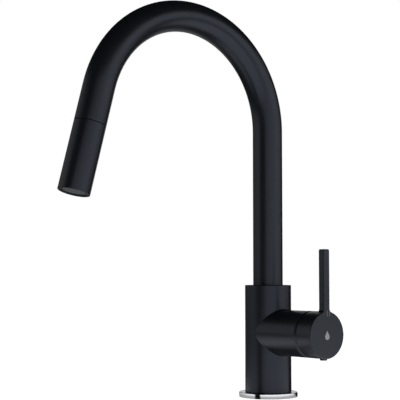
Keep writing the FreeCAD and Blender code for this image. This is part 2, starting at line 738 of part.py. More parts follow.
HEAD_S = JOINT_S + JOINT_GAP / 2
HEAD_ROOF = 2.6
HEAD_WALL = 1.5
HEAD_BORE_R = TUBE_R - HEAD_WALL
HEAD_EDGE = 0.3
RIM_EDGE = 0.5
RIM_CHAMFER = 0.2
COLLAR_R = 10.3
COLLAR_START = 19.0
COLLAR_BORE_R = 7.6
COLLAR_LEAD = 1.5         # the collar's leading taper
COLLAR_LEAD_L = 2.5
NUT_R = 7.0
NUT_THREAD_R = 6.6
NUT_START = 21.3
NUT_END = 47.0
FLANGE_PLAY = 0.2
CORE_TOP = HEAD_S + HEAD_ROOF
CORE_END = 84.0
CORE_R = 12.7
WASHER_END = 48.6
VALVE_END = 57.0
VALVE_R = 5.0
CHAMBER_START = 62.0
CHAMBER_END_R = 10.5
CORE_BAND = 14.0          # the core's wide band at its outlet end
CORE_WAY_R = 3.5
O_RING_S = 64.0
O_RING_R = 0.78


def head_shell():
    """Round outer shell of the spray head."""
    shell = turned([(COLLAR_R, HEAD_S), (TUBE_R - HEAD_EDGE, HEAD_S), (TUBE_R, HEAD_S + HEAD_EDGE),
                    (TUBE_R, OUTLET_S - RIM_EDGE), (TUBE_R - RIM_EDGE, OUTLET_S),
                    (HEAD_BORE_R + RIM_CHAMFER, OUTLET_S), (HEAD_BORE_R, OUTLET_S - RIM_CHAMFER),
                    (HEAD_BORE_R, CORE_TOP), (COLLAR_R, CORE_TOP)])
    return placed(shell, ON_LEG)


def head_collar():
    """Plastic collar that plugs into the spout's bush."""
    collar = turned([(COLLAR_BORE_R, COLLAR_START), (COLLAR_R - COLLAR_LEAD, COLLAR_START),
                     (COLLAR_R, COLLAR_START + COLLAR_LEAD_L), (COLLAR_R, CORE_TOP),
                     (COLLAR_BORE_R, CORE_TOP)])
    return placed(collar, ON_LEG)


def hose_nut():
    """Brass nut that screws the hose into the head and turns round its stem."""
    neck = STEM_R + 0.15
    bore = STEM_R + 0.06
    pocket = FLANGE_R + FLANGE_PLAY
    nut = turned([(neck, NUT_START), (NUT_R, NUT_START), (NUT_R, CORE_TOP), (NUT_THREAD_R, CORE_TOP),
                  (NUT_THREAD_R, NUT_END), (bore, NUT_END), (bore, FLANGE_END + FLANGE_PLAY),
                  (pocket, FLANGE_END + FLANGE_PLAY), (pocket, FLANGE_START - FLANGE_PLAY),
                  (neck, FLANGE_START - FLANGE_PLAY)])
    return placed(nut, ON_LEG)


def inlet_washer():
    """Sealing washer between the hose nut and the head's core."""
    return placed(sleeve(NUT_THREAD_R - 0.1, 3.6, NUT_END, WASHER_END), ON_LEG)


def head_core():
    """Inner waterway of the head, with the socket for the hose nut."""
    band = CORE_END - CORE_BAND
    core = turned([(NUT_THREAD_R, CORE_TOP), (CORE_R, CORE_TOP), (CORE_R, band), (HEAD_BORE_R, band),
                   (HEAD_BORE_R, CORE_END), (CHAMBER_END_R, CORE_END), (CHAMBER_END_R, CHAMBER_START + 7),
                   (CORE_WAY_R, CHAMBER_START), (CORE_WAY_R, VALVE_END + 1), (VALVE_R, VALVE_END + 1),
                   (VALVE_R, WASHER_END), (NUT_THREAD_R, WASHER_END)])
    groove = sleeve(CORE_R + 1, CORE_R - 1.0, O_RING_S - 1.0, O_RING_S + 1.0)
    return placed(core.cut(groove), ON_LEG)


def core_o_ring():
    """Rubber ring between the core and the shell."""
    return placed(Part.makeTorus(HEAD_BORE_R - O_RING_R, O_RING_R, Vector(0, 0, O_RING_S)), ON_LEG)


VALVE_MOUTH_R = 3.6
VALVE_BORE_R = 4.2
VALVE_EXIT_R = 2.6
POPPET_TOP = WASHER_END + 0.8
POPPET_END = VALVE_END - 0.4
POPPET_R = 3.9
POPPET_STEM_R = 1.2
SPOKE_REACH = VALVE_BORE_R + 0.2
SPOKE_HALF = 0.5


def check_valve():
    """Non-return valve that stops water running back into the hose."""
    ledge = VALVE_END - 1
    body = turned([(VALVE_MOUTH_R, WASHER_END), (VALVE_R, WASHER_END), (VALVE_R, VALVE_END),
                   (VALVE_EXIT_R, VALVE_END), (VALVE_EXIT_R, ledge), (VALVE_BORE_R, ledge),
                   (VALVE_BORE_R, WASHER_END + 2.4)])
    poppet = turned([(0, POPPET_TOP), (POPPET_R - 0.9, POPPET_TOP + 0.6), (POPPET_R, POPPET_TOP + 2.6),
                     (POPPET_STEM_R, POPPET_TOP + 3.6), (POPPET_STEM_R, POPPET_END), (0, POPPET_END)])
    spokes = block((-SPOKE_REACH, -SPOKE_HALF, ledge), (SPOKE_REACH, SPOKE_HALF, POPPET_END))
    return placed(fuse_all([body, spokes, poppet]), ON_LEG)


SEAL_END = CORE_END + 1.2
AERATOR_R = 13.1
AERATOR_BORE_R = 11.9
AERATOR_END = OUTLET_S - 0.6
INSERT_START = SEAL_END + 2.0
INSERT_END = INSERT_START + 6.0
MESH_START = AERATOR_END - 2.2
MESH_END = AERATOR_END - 0.8


def aerator_seal():
    """Rubber ring between the core and the aerator."""
    return placed(sleeve(AERATOR_R, CHAMBER_END_R + 0.4, CORE_END, SEAL_END), ON_LEG)


def aerator_housing():
    """Screw-in ring that holds the aerator, with an inner lip at the outlet."""
    lip = AERATOR_BORE_R - 0.5
    housing = turned([(AERATOR_BORE_R, SEAL_END), (AERATOR_R, SEAL_END), (AERATOR_R, AERATOR_END),
                      (lip, AERATOR_END), (lip, MESH_END), (AERATOR_BORE_R, MESH_END)])
    return placed(housing, ON_LEG)


def aerator_insert():
    """Perforated plastic disc that breaks the water into jets."""
    disc = rod(AERATOR_BORE_R, INSERT_START, INSERT_END)
    hub_pocket = rod(AERATOR_BORE_R - 2, INSERT_START, INSERT_START + 3)
    holes = []
    for radius, count in ((4.0, 6), (7.8, 12)):
        for number in range(count):
            turn = 2 * math.pi * number / count
            holes.append(rod(0.8, INSERT_START, INSERT_END, radius * math.cos(turn), radius * math.sin(turn)))
    return placed(disc.cut(hub_pocket).cut(Part.makeCompound(holes)), ON_LEG)


def aerator_mesh():
    """Fine mesh at the outlet."""
    disc = rod(AERATOR_BORE_R, MESH_START, MESH_END)
    openings = []
    pitch = 3.4
    for row in range(-3, 4):
        for column in range(-3, 4):
            x = pitch * column
            y = pitch * row
            if math.hypot(abs(x) + pitch / 2, abs(y) + pitch / 2) < AERATOR_BORE_R - 0.8:
                openings.append(block((x - 1.3, y - 1.3, MESH_START), (x + 1.3, y + 1.3, MESH_END)))
    return placed(disc.cut(Part.makeCompound(openings)), ON_LEG)


# ---- every sub-part, one file each --------------------------------------

SUB_PARTS = [
    base_ring, base_gasket, threaded_shank, clamp_washer_rubber, clamp_washer_steel, clamp_nut,
    valve_body, swivel_lock_screw, outlet_pipe, outlet_coupling,
    cartridge_base, cartridge_seals, fixed_ceramic_disc, moving_ceramic_disc, disc_carrier,
    cartridge_housing, lever_turret, pivot_pin, cartridge_nut, dome_cover,
    lever_spindle, lever_handle, spindle_sleeve, handle_grub_screw, screw_plug, drop_mark, index_ticks,
    spout_tube, spout_foot, foot_glide_rings, spout_glide_washer, dock_bush,
    spray_hose, hose_tail_ferrule, hose_tail_stem, hose_ferrule, hose_stem,
    head_shell, head_collar, hose_nut, inlet_washer, head_core, core_o_ring, check_valve,
    aerator_seal, aerator_housing, aerator_insert, aerator_mesh,
]

os.makedirs("parts", exist_ok=True)
for make in SUB_PARTS:
    solid = make()
    solid.exportStep("parts/" + make.__name__ + ".step")
    kinds = len(solid.Solids), solid.isValid()
    print(make.__name__, "solids and validity:", kinds, "volume in cm3:", round(solid.Volume / 1000, 3))
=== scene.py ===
"""The looks of a single-lever kitchen faucet with a pull-down spray head.

Lengths are in metres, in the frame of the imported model: +Z up from the worktop, the spout reaching
out along -Y and the lever side along +X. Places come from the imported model's boxes and joints.
"""

import json
import math

import bmesh
import bpy
from bpy.props import FloatProperty, FloatVectorProperty, IntProperty, PointerProperty
from mathutils import Matrix, Vector


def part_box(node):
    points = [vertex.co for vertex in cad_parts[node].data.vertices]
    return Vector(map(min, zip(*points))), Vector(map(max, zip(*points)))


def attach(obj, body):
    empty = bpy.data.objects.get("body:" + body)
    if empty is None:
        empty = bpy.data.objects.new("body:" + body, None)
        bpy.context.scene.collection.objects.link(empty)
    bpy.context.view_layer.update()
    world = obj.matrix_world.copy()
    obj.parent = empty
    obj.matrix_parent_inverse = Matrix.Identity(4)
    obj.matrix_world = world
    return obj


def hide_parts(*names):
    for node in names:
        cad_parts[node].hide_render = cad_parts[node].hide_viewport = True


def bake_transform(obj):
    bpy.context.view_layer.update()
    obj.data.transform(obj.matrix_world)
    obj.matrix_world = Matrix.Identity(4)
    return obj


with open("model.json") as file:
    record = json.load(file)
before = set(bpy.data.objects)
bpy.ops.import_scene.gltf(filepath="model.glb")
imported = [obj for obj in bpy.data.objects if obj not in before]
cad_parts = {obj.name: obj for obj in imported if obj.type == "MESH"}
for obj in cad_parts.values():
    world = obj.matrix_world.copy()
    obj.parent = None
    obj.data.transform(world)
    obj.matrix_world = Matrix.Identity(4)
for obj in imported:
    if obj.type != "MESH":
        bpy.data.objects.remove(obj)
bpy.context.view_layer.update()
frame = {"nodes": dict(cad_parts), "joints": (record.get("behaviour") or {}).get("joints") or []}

bl_info = {
    "name": "Pull-down Kitchen Faucet",
    "version": (1, 0, 0),
    "blender": (4, 5, 0),
    "location": "View3D > Sidebar > Faucet",
    "description": "Builds the pieces and finishes of a pull-down kitchen faucet",
    "category": "Object",
}

MM = 0.001
WELD = 1e-7
SHARP_ANGLE = math.radians(32)
ROUND_STEPS = 5                 # segments in a rounded corner

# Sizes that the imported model's boxes don't hold.
HOUSING_CHAMFER = 1.0 * MM      # the side housing narrows by this much at its end
CHAMFER_LENGTH = 1.7 * MM
CASTING_EASE = 0.4 * MM         # the casting's small broken edges
TUBE_PLAY = 0.3 * MM            # round the spout tube in the body's top
HOSE_WAY_R = 6.8 * MM           # the hose's way down through the body
FOOT_CLEAR = 2 * MM             # under the spout's foot
GLIDE_PLAY = 0.05 * MM          # round the foot's glide rings
CASE_PLAY = 0.1 * MM            # round the cartridge's case
SEAM_STEPS = 6
PORT_DEPTH = 12 * MM
PORT_TURNS = (0, 60, -60)       # mixed outlet and the two inlets, in degrees round the body
LOCK_HOLE_START = 10 * MM       # inside the foot's bore
RING_PLAY = 0.2 * MM
GASKET_BORE_R = 19 * MM
SHANK_BORE_R = 15.2 * MM
THREAD_SIDES = 72
THREAD_ROWS = 8                 # rows of points in one pitch
THREAD_DEPTH = 0.6              # share of the pitch
TUBE_STEPS, TUBE_SIDES = 190, 96
TUBE_RIM = 0.3 * MM
HOSE_STEPS, HOSE_SIDES = 260, 40
HOSE_BORE_R = 3.6 * MM
YARNS = 12
HEAD_SIDES = 112
CELL_WALL = 0.28 * MM
CELL_ROWS = 19
BAR_THICK = 7.2 * MM            # the lever's bar
BAR_HALF = 3.85 * MM
BAR_CORNER = 1.5 * MM
ROOT_R = 4 * MM                 # fillet where the bar meets the cap
ROOT_STEPS = 8
CAP_STEPS = 96
GATE_STEPS = 12                 # where the bar crosses the cap's circle
FACE_STEPS = 6                  # rounding of the front edge
BACK_STEPS = 4                  # rounding of the rear edge
CAP_WALL = 1.2 * MM
SOCKET_HALF = 5 * MM            # square socket for the spindle's sleeve
SOCKET_END = 80.2 * MM
MARK_PROUD = 0.06 * MM
MARK_DEPTH = 0.2 * MM
DROP_STEPS = 40
TICK_WIDTH = 0.9 * MM
TICK_CORNER = 0.3 * MM
PLUG_HEAD_R = 3.5 * MM
PLUG_STEM_R = 2.9 * MM
PLUG_STEM_DEPTH = 2 * MM
PLUG_SEAT = 0.6 * MM            # how far the plug's head sits in the cap
PLUG_SIDES = 48
CUTTER_SIDES = 32


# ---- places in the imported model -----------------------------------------

def reach(node, axis):
    """A node's lowest and highest coordinate along one axis, 0 to 2."""
    low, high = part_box(node)
    return low[axis], high[axis]


def joint(name):
    """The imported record's row for a joint."""
    return next(row for row in frame["joints"] if row["name"] == name)


TUBE_R = reach("spout_tube", 0)[1]
LEG_AXIS = Vector(joint("spray_pull")["axis"]).normalized()
ARCH_TURN = math.atan2(-LEG_AXIS.y, LEG_AXIS.z)


def spout_line():
    """Arch radius, and the height where the arch starts, from the crown and the head's joint."""
    mouth = Vector(joint("spray_swivel")["pos_m"])
    crown = reach("spout_tube", 2)[1] - TUBE_R
    sine, cosine = math.sin(ARCH_TURN), math.cos(ARCH_TURN)
    rows = Matrix(((sine - 1, cosine), (cosine - 1, -sine)))
    radius = (rows.inverted() @ Vector((mouth.z - crown, mouth.y))).x
    return radius, crown - radius


ARCH_R, ARCH_Z = spout_line()
LEG_START = Vector((0, -ARCH_R * (1 - math.cos(ARCH_TURN)), ARCH_Z + ARCH_R * math.sin(ARCH_TURN)))
PIVOT = Vector(joint("lever_lift")["pos_m"])

# Frames of the three groups: local Z runs up the body, out along the lever's axis, and down the leg.
UPRIGHT = Matrix.Identity(4)
ON_LEVER = Matrix.Translation((0, 0, PIVOT.z)) @ Matrix.Rotation(math.pi / 2, 4, "Y")
ON_LEG = Matrix.Translation(LEG_START) @ Matrix.Rotation(ARCH_TURN, 4, "X")


def leg_reach(node, radius):
    """How far down the leg a round part of that radius starts and ends."""
    lean = radius * math.sin(ARCH_TURN)
    low, high = reach(node, 2)
    fall = -math.cos(ARCH_TURN)
    return (LEG_START.z - high + lean) / fall, (LEG_START.z - low - lean) / fall


# ---- node helpers -------------------------------------------------------

def linear(code):
    """An sRGB hex colour as linear red, green and blue."""
    channels = [int(code[place:place + 2], 16) / 255 for place in (1, 3, 5)]
    return [c / 12.92 if c <= 0.04045 else ((c + 0.055) / 1.055) ** 2.4 for c in channels]


def scaled(colour, factor):
    """A colour made darker or lighter, with its alpha."""
    return (*[min(1.0, channel * factor) for channel in colour], 1.0)


def add(tree, kind, inputs=None, **settings):
    """Adds one node with its settings, and links or values for its inputs."""
    node = tree.nodes.new(kind)
    for name, value in settings.items():
        setattr(node, name, value)
    for name, value in (inputs or {}).items():
        if isinstance(value, bpy.types.NodeSocket):
            tree.links.new(value, node.inputs[name])
        else:
            node.inputs[name].default_value = value
    return node


def maths(tree, operation, *values, clamp=False):
    """The result of one Math node."""
    node = add(tree, "ShaderNodeMath", dict(enumerate(values)), operation=operation, use_clamp=clamp)
    return node.outputs[0]


def surface(name, roughness, metallic=0.0, **sockets):
    """An empty finish: its tree, its shader, and Object coordinates in metres."""
    material = bpy.data.materials.new(name)
    material.use_nodes = True
    tree = material.node_tree
    tree.nodes.clear()
    shader = add(tree, "ShaderNodeBsdfPrincipled", {"Roughness": roughness, "Metallic": metallic})
    for socket, value in sockets.items():
        shader.inputs[socket.replace("_", " ")].default_value = value
    add(tree, "ShaderNodeOutputMaterial", {"Surface": shader.outputs["BSDF"]})
    return material, tree, shader, add(tree, "ShaderNodeTexCoord").outputs["Object"]


def in_frame(tree, place, matrix):
    """X, Y and Z of a place, in the frame of one group."""
    back = matrix.inverted()
    local = add(tree, "ShaderNodeMapping", {"Vector": place, "Location": back.translation,
                                            "Rotation": back.to_euler()}).outputs[0]
    return add(tree, "ShaderNodeSeparateXYZ", {"Vector": local}).outputs


def grain(tree, place, size, detail=2.0):
    """Noise with features of about one size in metres."""
    shrunk = add(tree, "ShaderNodeMapping", {"Vector": place, "Scale": [1 / size] * 3}).outputs[0]
    noise = add(tree, "ShaderNodeTexNoise", {"Vector": shrunk, "Scale": 1.0, "Detail": detail})
    return noise.outputs["Fac"]


def spread(tree, value, low, high):
    """Maps the middle of a noise to a range of values."""
    node = add(tree, "ShaderNodeMapRange", {"Value": value, "From Min": 0.3, "From Max": 0.7,
                                            "To Min": low, "To Max": high})
    return node.outputs[0]


def tinted(tree, value, low, high):
    """Two colours mixed by a value."""
    return add(tree, "ShaderNodeMix", {0: value, 6: low, 7: high}, data_type="RGBA").outputs[2]


def shaded(tree, shader, value, colour, low, high):
    """The finish's own colour, from one share of it to another by a value."""
    mixed = tinted(tree, value, scaled(colour, low), scaled(colour, high))
    tree.links.new(mixed, shader.inputs["Base Color"])


def raised(tree, shader, height, depth):
    """A bump of a real depth in metres."""
    node = add(tree, "ShaderNodeBump", {"Height": height, "Distance": depth})
    tree.links.new(node.outputs[0], shader.inputs["Normal"])


# ---- finishes -----------------------------------------------------------

def satin_coat(colour):
    """Satin black powder coat over cast brass."""
    # Sprayed and baked: a soft sheen with a fine orange peel and slow changes in gloss.
    material, tree, shader, place = surface("satin_black_coat", 0.32, IOR=1.5,
                                            Specular_Tint=(0.72, 0.80, 1.0, 1.0))
    gloss = grain(tree, place, 22 * MM, 3)
    peel = grain(tree, place, 0.45 * MM, 2)
    tree.links.new(spread(tree, gloss, 0.30, 0.34), shader.inputs["Roughness"])
    shaded(tree, shader, gloss, colour, 0.94, 1.06)
    raised(tree, shader, peel, 0.006 * MM)
    return material


def polished_chrome(colour):
    """Chrome plate over polished brass."""
    # A mirror with faint turning lines round the ring and a breath of haze.
    material, tree, shader, place = surface("polished_chrome", 0.07, 1.0)
    split = add(tree, "ShaderNodeSeparateXYZ", {"Vector": place})
    radius = maths(tree, "SQRT", maths(tree, "ADD", maths(tree, "POWER", split.outputs["X"], 2.0),
                                       maths(tree, "POWER", split.outputs["Y"], 2.0)))
    level = maths(tree, "ADD", radius, split.outputs["Z"])
    lines = add(tree, "ShaderNodeTexNoise", {"W": maths(tree, "DIVIDE", level, 0.25 * MM), "Scale": 1.0},
                noise_dimensions="1D")
    haze = grain(tree, place, 9 * MM)
    tree.links.new(spread(tree, haze, 0.05, 0.10), shader.inputs["Roughness"])
    shaded(tree, shader, haze, colour, 0.96, 1.0)
    raised(tree, shader, lines.outputs["Fac"], 0.0006 * MM)
    return material


def turned_metal(name, colour, roughness, matrix, line):
    """Bare metal turned on a lathe about the local Z axis."""
    # Rings left by the cutting tool, a little darker where the metal has dulled.
    material, tree, shader, place = surface(name, roughness, 1.0)
    along = maths(tree, "MULTIPLY", in_frame(tree, place, matrix)["Z"], 1 / line)
    rings = add(tree, "ShaderNodeTexNoise", {"W": along, "Scale": 1.0, "Detail": 3.0},
                noise_dimensions="1D").outputs["Fac"]
    dull = grain(tree, place, 5 * MM, 3)
    tree.links.new(spread(tree, maths(tree, "MULTIPLY", rings, maths(tree, "ADD", dull, 0.5)),
                          roughness - 0.06, roughness + 0.08), shader.inputs["Roughness"])
    shaded(tree, shader, dull, colour, 0.86, 1.05)
    raised(tree, shader, rings, 0.004 * MM)
    return material


def moulded(name, colour, roughness, texture, depth, **sockets):
    """Injection-moulded plastic or rubber."""
    # The mould's fine spark texture, and slow flow marks in colour and gloss.
    material, tree, shader, place = surface(name, roughness, **sockets)
    flow = grain(tree, place, 7 * MM, 3)
    skin = grain(tree, place, texture, 2)
    tree.links.new(spread(tree, flow, roughness - 0.04, roughness + 0.05), shader.inputs["Roughness"])
    shaded(tree, shader, flow, colour, 0.92, 1.05)
    raised(tree, shader, skin, depth)
    return material


def nylon_braid(light, dark, pitch):
    """Woven nylon sleeve on the spray hose."""
    # Two sets of flat yarns wound against each other, in the leg's own frame where it shows.
    material, tree, shader, place = surface("nylon_braid", 0.55, Sheen_Weight=0.25, Sheen_Roughness=0.4)
    split = in_frame(tree, place, ON_LEG)
    turns = maths(tree, "MULTIPLY", maths(tree, "ARCTAN2", split["Y"], split["X"]), YARNS / math.tau)
    along = maths(tree, "MULTIPLY", split["Z"], 1 / pitch)
    waves = []
    for way in ("ADD", "SUBTRACT"):
        fraction = maths(tree, "PINGPONG", maths(tree, way, turns, along), 0.5)
        waves.append(maths(tree, "SMOOTH_MIN", maths(tree, "MULTIPLY", fraction, 4.0), 1.0, 0.3))
    over = maths(tree, "GREATER_THAN", maths(tree, "PINGPONG", turns, 1.0), 0.5)
    yarn = maths(tree, "MULTIPLY", waves[0], waves[1])
    fibre = grain(tree, place, 0.25 * MM, 2)
    tone = maths(tree, "MULTIPLY", yarn, maths(tree, "ADD", fibre, maths(tree, "MULTIPLY", over, 0.25)))
    tree.links.new(tinted(tree, tone, scaled(dark, 1), scaled(light, 1)), shader.inputs["Base Color"])
    raised(tree, shader, yarn, 0.15 * MM)
    return material


def laser_mark(name, colour):
    """Pale fill in a mark cut through the coat."""
    # Slightly chalky, with the edge of the fill a little uneven in tone.
    material, tree, shader, place = surface(name, 0.5)
    chalk = grain(tree, place, 0.3 * MM, 2)
    shaded(tree, shader, chalk, colour, 0.85, 1.1)
    tree.links.new(spread(tree, chalk, 0.45, 0.6), shader.inputs["Roughness"])
    raised(tree, shader, chalk, 0.01 * MM)
    return material


# ---- mesh helpers -------------------------------------------------------

def join(bm, rows):
    """Joins closed rows of as many vertices each with bands of quads."""
    count = len(rows[0])
    for near, far in zip(rows, rows[1:]):
        for first in range(count):
            second = (first + 1) % count
            bm.faces.new((near[first], near[second], far[second], far[first]))
    return rows


def loft(bm, loops):
    """A skin over closed loops of as many points each."""
    return join(bm, [[bm.verts.new(point) for point in loop] for loop in loops])


def rounded(corners):
    """Outline points from (x, y, corner radius) rows, with an arc at each rounded corner."""
    points = []
    count = len(corners)
    for index, (x, y, radius) in enumerate(corners):
        here = Vector((x, y))
        if radius <= 0:
            points.append(here)
            continue
        before = (Vector(corners[index - 1][:2]) - here).normalized()
        after = (Vector(corners[(index + 1) % count][:2]) - here).normalized()
        half = before.angle(after) / 2
        centre = here + (before + after).normalized() * radius / math.sin(half)
        start = here + before * radius / math.tan(half) - centre
        sweep = (math.pi - 2 * half) * (1 if before.cross(after) < 0 else -1)
        for step in range(ROUND_STEPS + 1):
            points.append(centre + Matrix.Rotation(sweep * step / ROUND_STEPS, 2) @ start)
    return points


def lathe(bm, profile, matrix=UPRIGHT, steps=128, closed=True):
    """Turns (radius, height) points about the local Z axis."""
    rows = list(profile) + ([profile[0]] if closed else [])
    loops = []
    for radius, height in rows:
        turns = [math.tau * step / steps for step in range(steps)]
        loops.append([matrix @ Vector((radius * math.cos(a), radius * math.sin(a), height)) for a in turns])
    return loft(bm, loops)


def settle(obj, *modifiers):
    """Adds modifiers given as (kind, settings) and keeps only the mesh they make."""
    for kind, settings in modifiers:
        modifier = obj.modifiers.new(kind.title(), kind)
        for name, value in settings.items():
            setattr(modifier, name, value)
    bpy.context.view_layer.update()
    graph = bpy.context.evaluated_depsgraph_get()
    mesh = bpy.data.meshes.new_from_object(obj.evaluated_get(graph), preserve_all_data_layers=True,
                                           depsgraph=graph)
    obj.modifiers.clear()
    obj.data = mesh
    return obj


def piece(name, bm, material, extra=()):
    """A finished, smooth-shaded object at the origin from a bmesh."""
    bmesh.ops.remove_doubles(bm, verts=bm.verts, dist=WELD)
    loose = [edge for edge in bm.edges if not edge.link_faces]
    bmesh.ops.delete(bm, geom=loose, context="EDGES")
    bmesh.ops.recalc_face_normals(bm, faces=bm.faces)
    mesh = bpy.data.meshes.new(name)
    bm.to_mesh(mesh)
    bm.free()
    mesh.materials.append(material)
    obj = bpy.data.objects.new(name, mesh)
    bpy.context.scene.collection.objects.link(obj)
    mesh.shade_smooth()
    if extra:
        settle(obj, *extra)
        obj.data.shade_smooth()
    obj.data.set_sharp_from_angle(angle=SHARP_ANGLE)
    return settle(obj, ("WEIGHTED_NORMAL", {"keep_sharp": True, "weight": 80}))


def give(obj, body, slot, *nodes):
    """Rides the piece on its body and hides the imported parts it stands for."""
    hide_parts(*nodes)
    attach(obj, body)


def tree_of(name, sizes):
    """A Geometry Nodes tree with named inputs; gives the tree and its inputs."""
    tree = bpy.data.node_groups.new(name, "GeometryNodeTree")
    tree.interface.new_socket("Geometry", in_out="OUTPUT", socket_type="NodeSocketGeometry")
    for label, kind in sizes:
        tree.interface.new_socket(label, in_out="INPUT", socket_type="NodeSocket" + kind)
    return tree, add(tree, "NodeGroupInput").outputs


def close_tree(tree, geometry, material, smooth):
    """Ends a tree in plain geometry with its finish."""
    real = add(tree, "GeometryNodeRealizeInstances", {"Geometry": geometry}).outputs[0]
    shaded = add(tree, "GeometryNodeSetShadeSmooth", {"Geometry": real, "Shade Smooth": smooth}).outputs[0]
    coated = add(tree, "GeometryNodeSetMaterial", {"Geometry": shaded, "Material": material}).outputs[0]
    add(tree, "NodeGroupOutput", {"Geometry": coated})


def grown(name, tree, values):
    """A plain object with the mesh that a tree makes from named values."""
    obj = bpy.data.objects.new(name, bpy.data.meshes.new(name))
    bpy.context.scene.collection.objects.link(obj)
    modifier = obj.modifiers.new(name, "NODES")
    modifier.node_group = tree
    for item in tree.interface.items_tree:
        if item.in_out == "INPUT":
            modifier[item.identifier] = values[item.name]
    return settle(obj)


def bent_tube_tree():
    """A round tube that rises, turns over in one arch and runs down a straight leg."""
    tree, given = tree_of("Bent tube", [("Bottom", "Float"), ("Riser", "Float"), ("Arch radius", "Float"),
                                        ("Turn", "Float"), ("Leg", "Float"), ("Tube radius", "Float"),
                                        ("Steps", "Int"), ("Sides", "Int"), ("Material", "Material")])
    arc = maths(tree, "MULTIPLY", given["Arch radius"], given["Turn"])
    total = maths(tree, "ADD", maths(tree, "ADD", given["Riser"], arc), given["Leg"])
    line = add(tree, "GeometryNodeCurvePrimitiveLine").outputs[0]
    steps = add(tree, "GeometryNodeResampleCurve", {"Curve": line, "Count": given["Steps"]}).outputs[0]
    run = maths(tree, "MULTIPLY", add(tree, "GeometryNodeSplineParameter").outputs["Factor"], total)
    past = maths(tree, "SUBTRACT", run, given["Riser"])
    angle = maths(tree, "MAXIMUM", maths(tree, "DIVIDE", past, given["Arch radius"]), 0.0)
    angle = maths(tree, "MINIMUM", angle, given["Turn"])
    rest = maths(tree, "MAXIMUM", maths(tree, "SUBTRACT", past, arc), 0.0)
    out = maths(tree, "SUBTRACT", 1.0, maths(tree, "COSINE", angle))
    out = maths(tree, "MULTIPLY", given["Arch radius"], out)
    out = maths(tree, "ADD", out, maths(tree, "MULTIPLY", rest, maths(tree, "SINE", given["Turn"])))
    up = maths(tree, "ADD", given["Bottom"], maths(tree, "MINIMUM", run, given["Riser"]))
    up = maths(tree, "ADD", up, maths(tree, "MULTIPLY", given["Arch radius"], maths(tree, "SINE", angle)))
    up = maths(tree, "ADD", up, maths(tree, "MULTIPLY", rest, maths(tree, "COSINE", given["Turn"])))
    place = add(tree, "ShaderNodeCombineXYZ", {"Y": maths(tree, "MULTIPLY", out, -1.0), "Z": up}).outputs[0]
    path = add(tree, "GeometryNodeSetPosition", {"Geometry": steps, "Position": place}).outputs[0]
    ring = add(tree, "GeometryNodeCurvePrimitiveCircle", {"Resolution": given["Sides"],
                                                          "Radius": given["Tube radius"]}).outputs[0]
    tube = add(tree, "GeometryNodeCurveToMesh", {"Curve": path, "Profile Curve": ring}).outputs[0]
    close_tree(tree, tube, given["Material"], True)
    return tree


def honeycomb_tree():
    """A round plate of small six-sided cells."""
    tree, given = tree_of("Honeycomb", [("Radius", "Float"), ("Pitch", "Float"), ("Wall", "Float"),
                                        ("Height", "Float"), ("Count", "Int"), ("Material", "Material")])
    row_step = maths(tree, "MULTIPLY", given["Pitch"], math.sqrt(3) / 2)
    last = maths(tree, "SUBTRACT", given["Count"], 1.0)
    grid = add(tree, "GeometryNodeMeshGrid", {"Size X": maths(tree, "MULTIPLY", row_step, last),
                                              "Size Y": maths(tree, "MULTIPLY", given["Pitch"], last),
                                              "Vertices X": given["Count"],
                                              "Vertices Y": given["Count"]}).outputs[0]
    number = add(tree, "GeometryNodeInputIndex").outputs[0]
    row = maths(tree, "FLOOR", maths(tree, "DIVIDE", number, given["Count"]))
    odd = maths(tree, "MODULO", row, 2.0)
    shift = maths(tree, "MULTIPLY", odd, maths(tree, "MULTIPLY", given["Pitch"], 0.5))
    offset = add(tree, "ShaderNodeCombineXYZ", {"Y": shift}).outputs[0]
    lattice = add(tree, "GeometryNodeSetPosition", {"Geometry": grid, "Offset": offset}).outputs[0]
    place = add(tree, "GeometryNodeInputPosition").outputs[0]
    far = add(tree, "ShaderNodeVectorMath", {0: place}, operation="LENGTH").outputs["Value"]
    beyond = maths(tree, "GREATER_THAN", far, given["Radius"])
    kept = add(tree, "GeometryNodeDeleteGeometry", {"Geometry": lattice, "Selection": beyond}).outputs[0]
    corner = maths(tree, "DIVIDE", maths(tree, "SUBTRACT", given["Pitch"], given["Wall"]), math.sqrt(3))
    hexagon = add(tree, "GeometryNodeCurvePrimitiveCircle", {"Resolution": 6, "Radius": corner}).outputs[0]
    section = add(tree, "GeometryNodeCurvePrimitiveQuadrilateral",
                  {"Width": given["Wall"], "Height": given["Height"]}).outputs[0]
    cell = add(tree, "GeometryNodeCurveToMesh", {"Curve": hexagon, "Profile Curve": section}).outputs[0]
    cells = add(tree, "GeometryNodeInstanceOnPoints", {"Points": kept, "Instance": cell}).outputs[0]
    close_tree(tree, cells, given["Material"], False)
    return tree


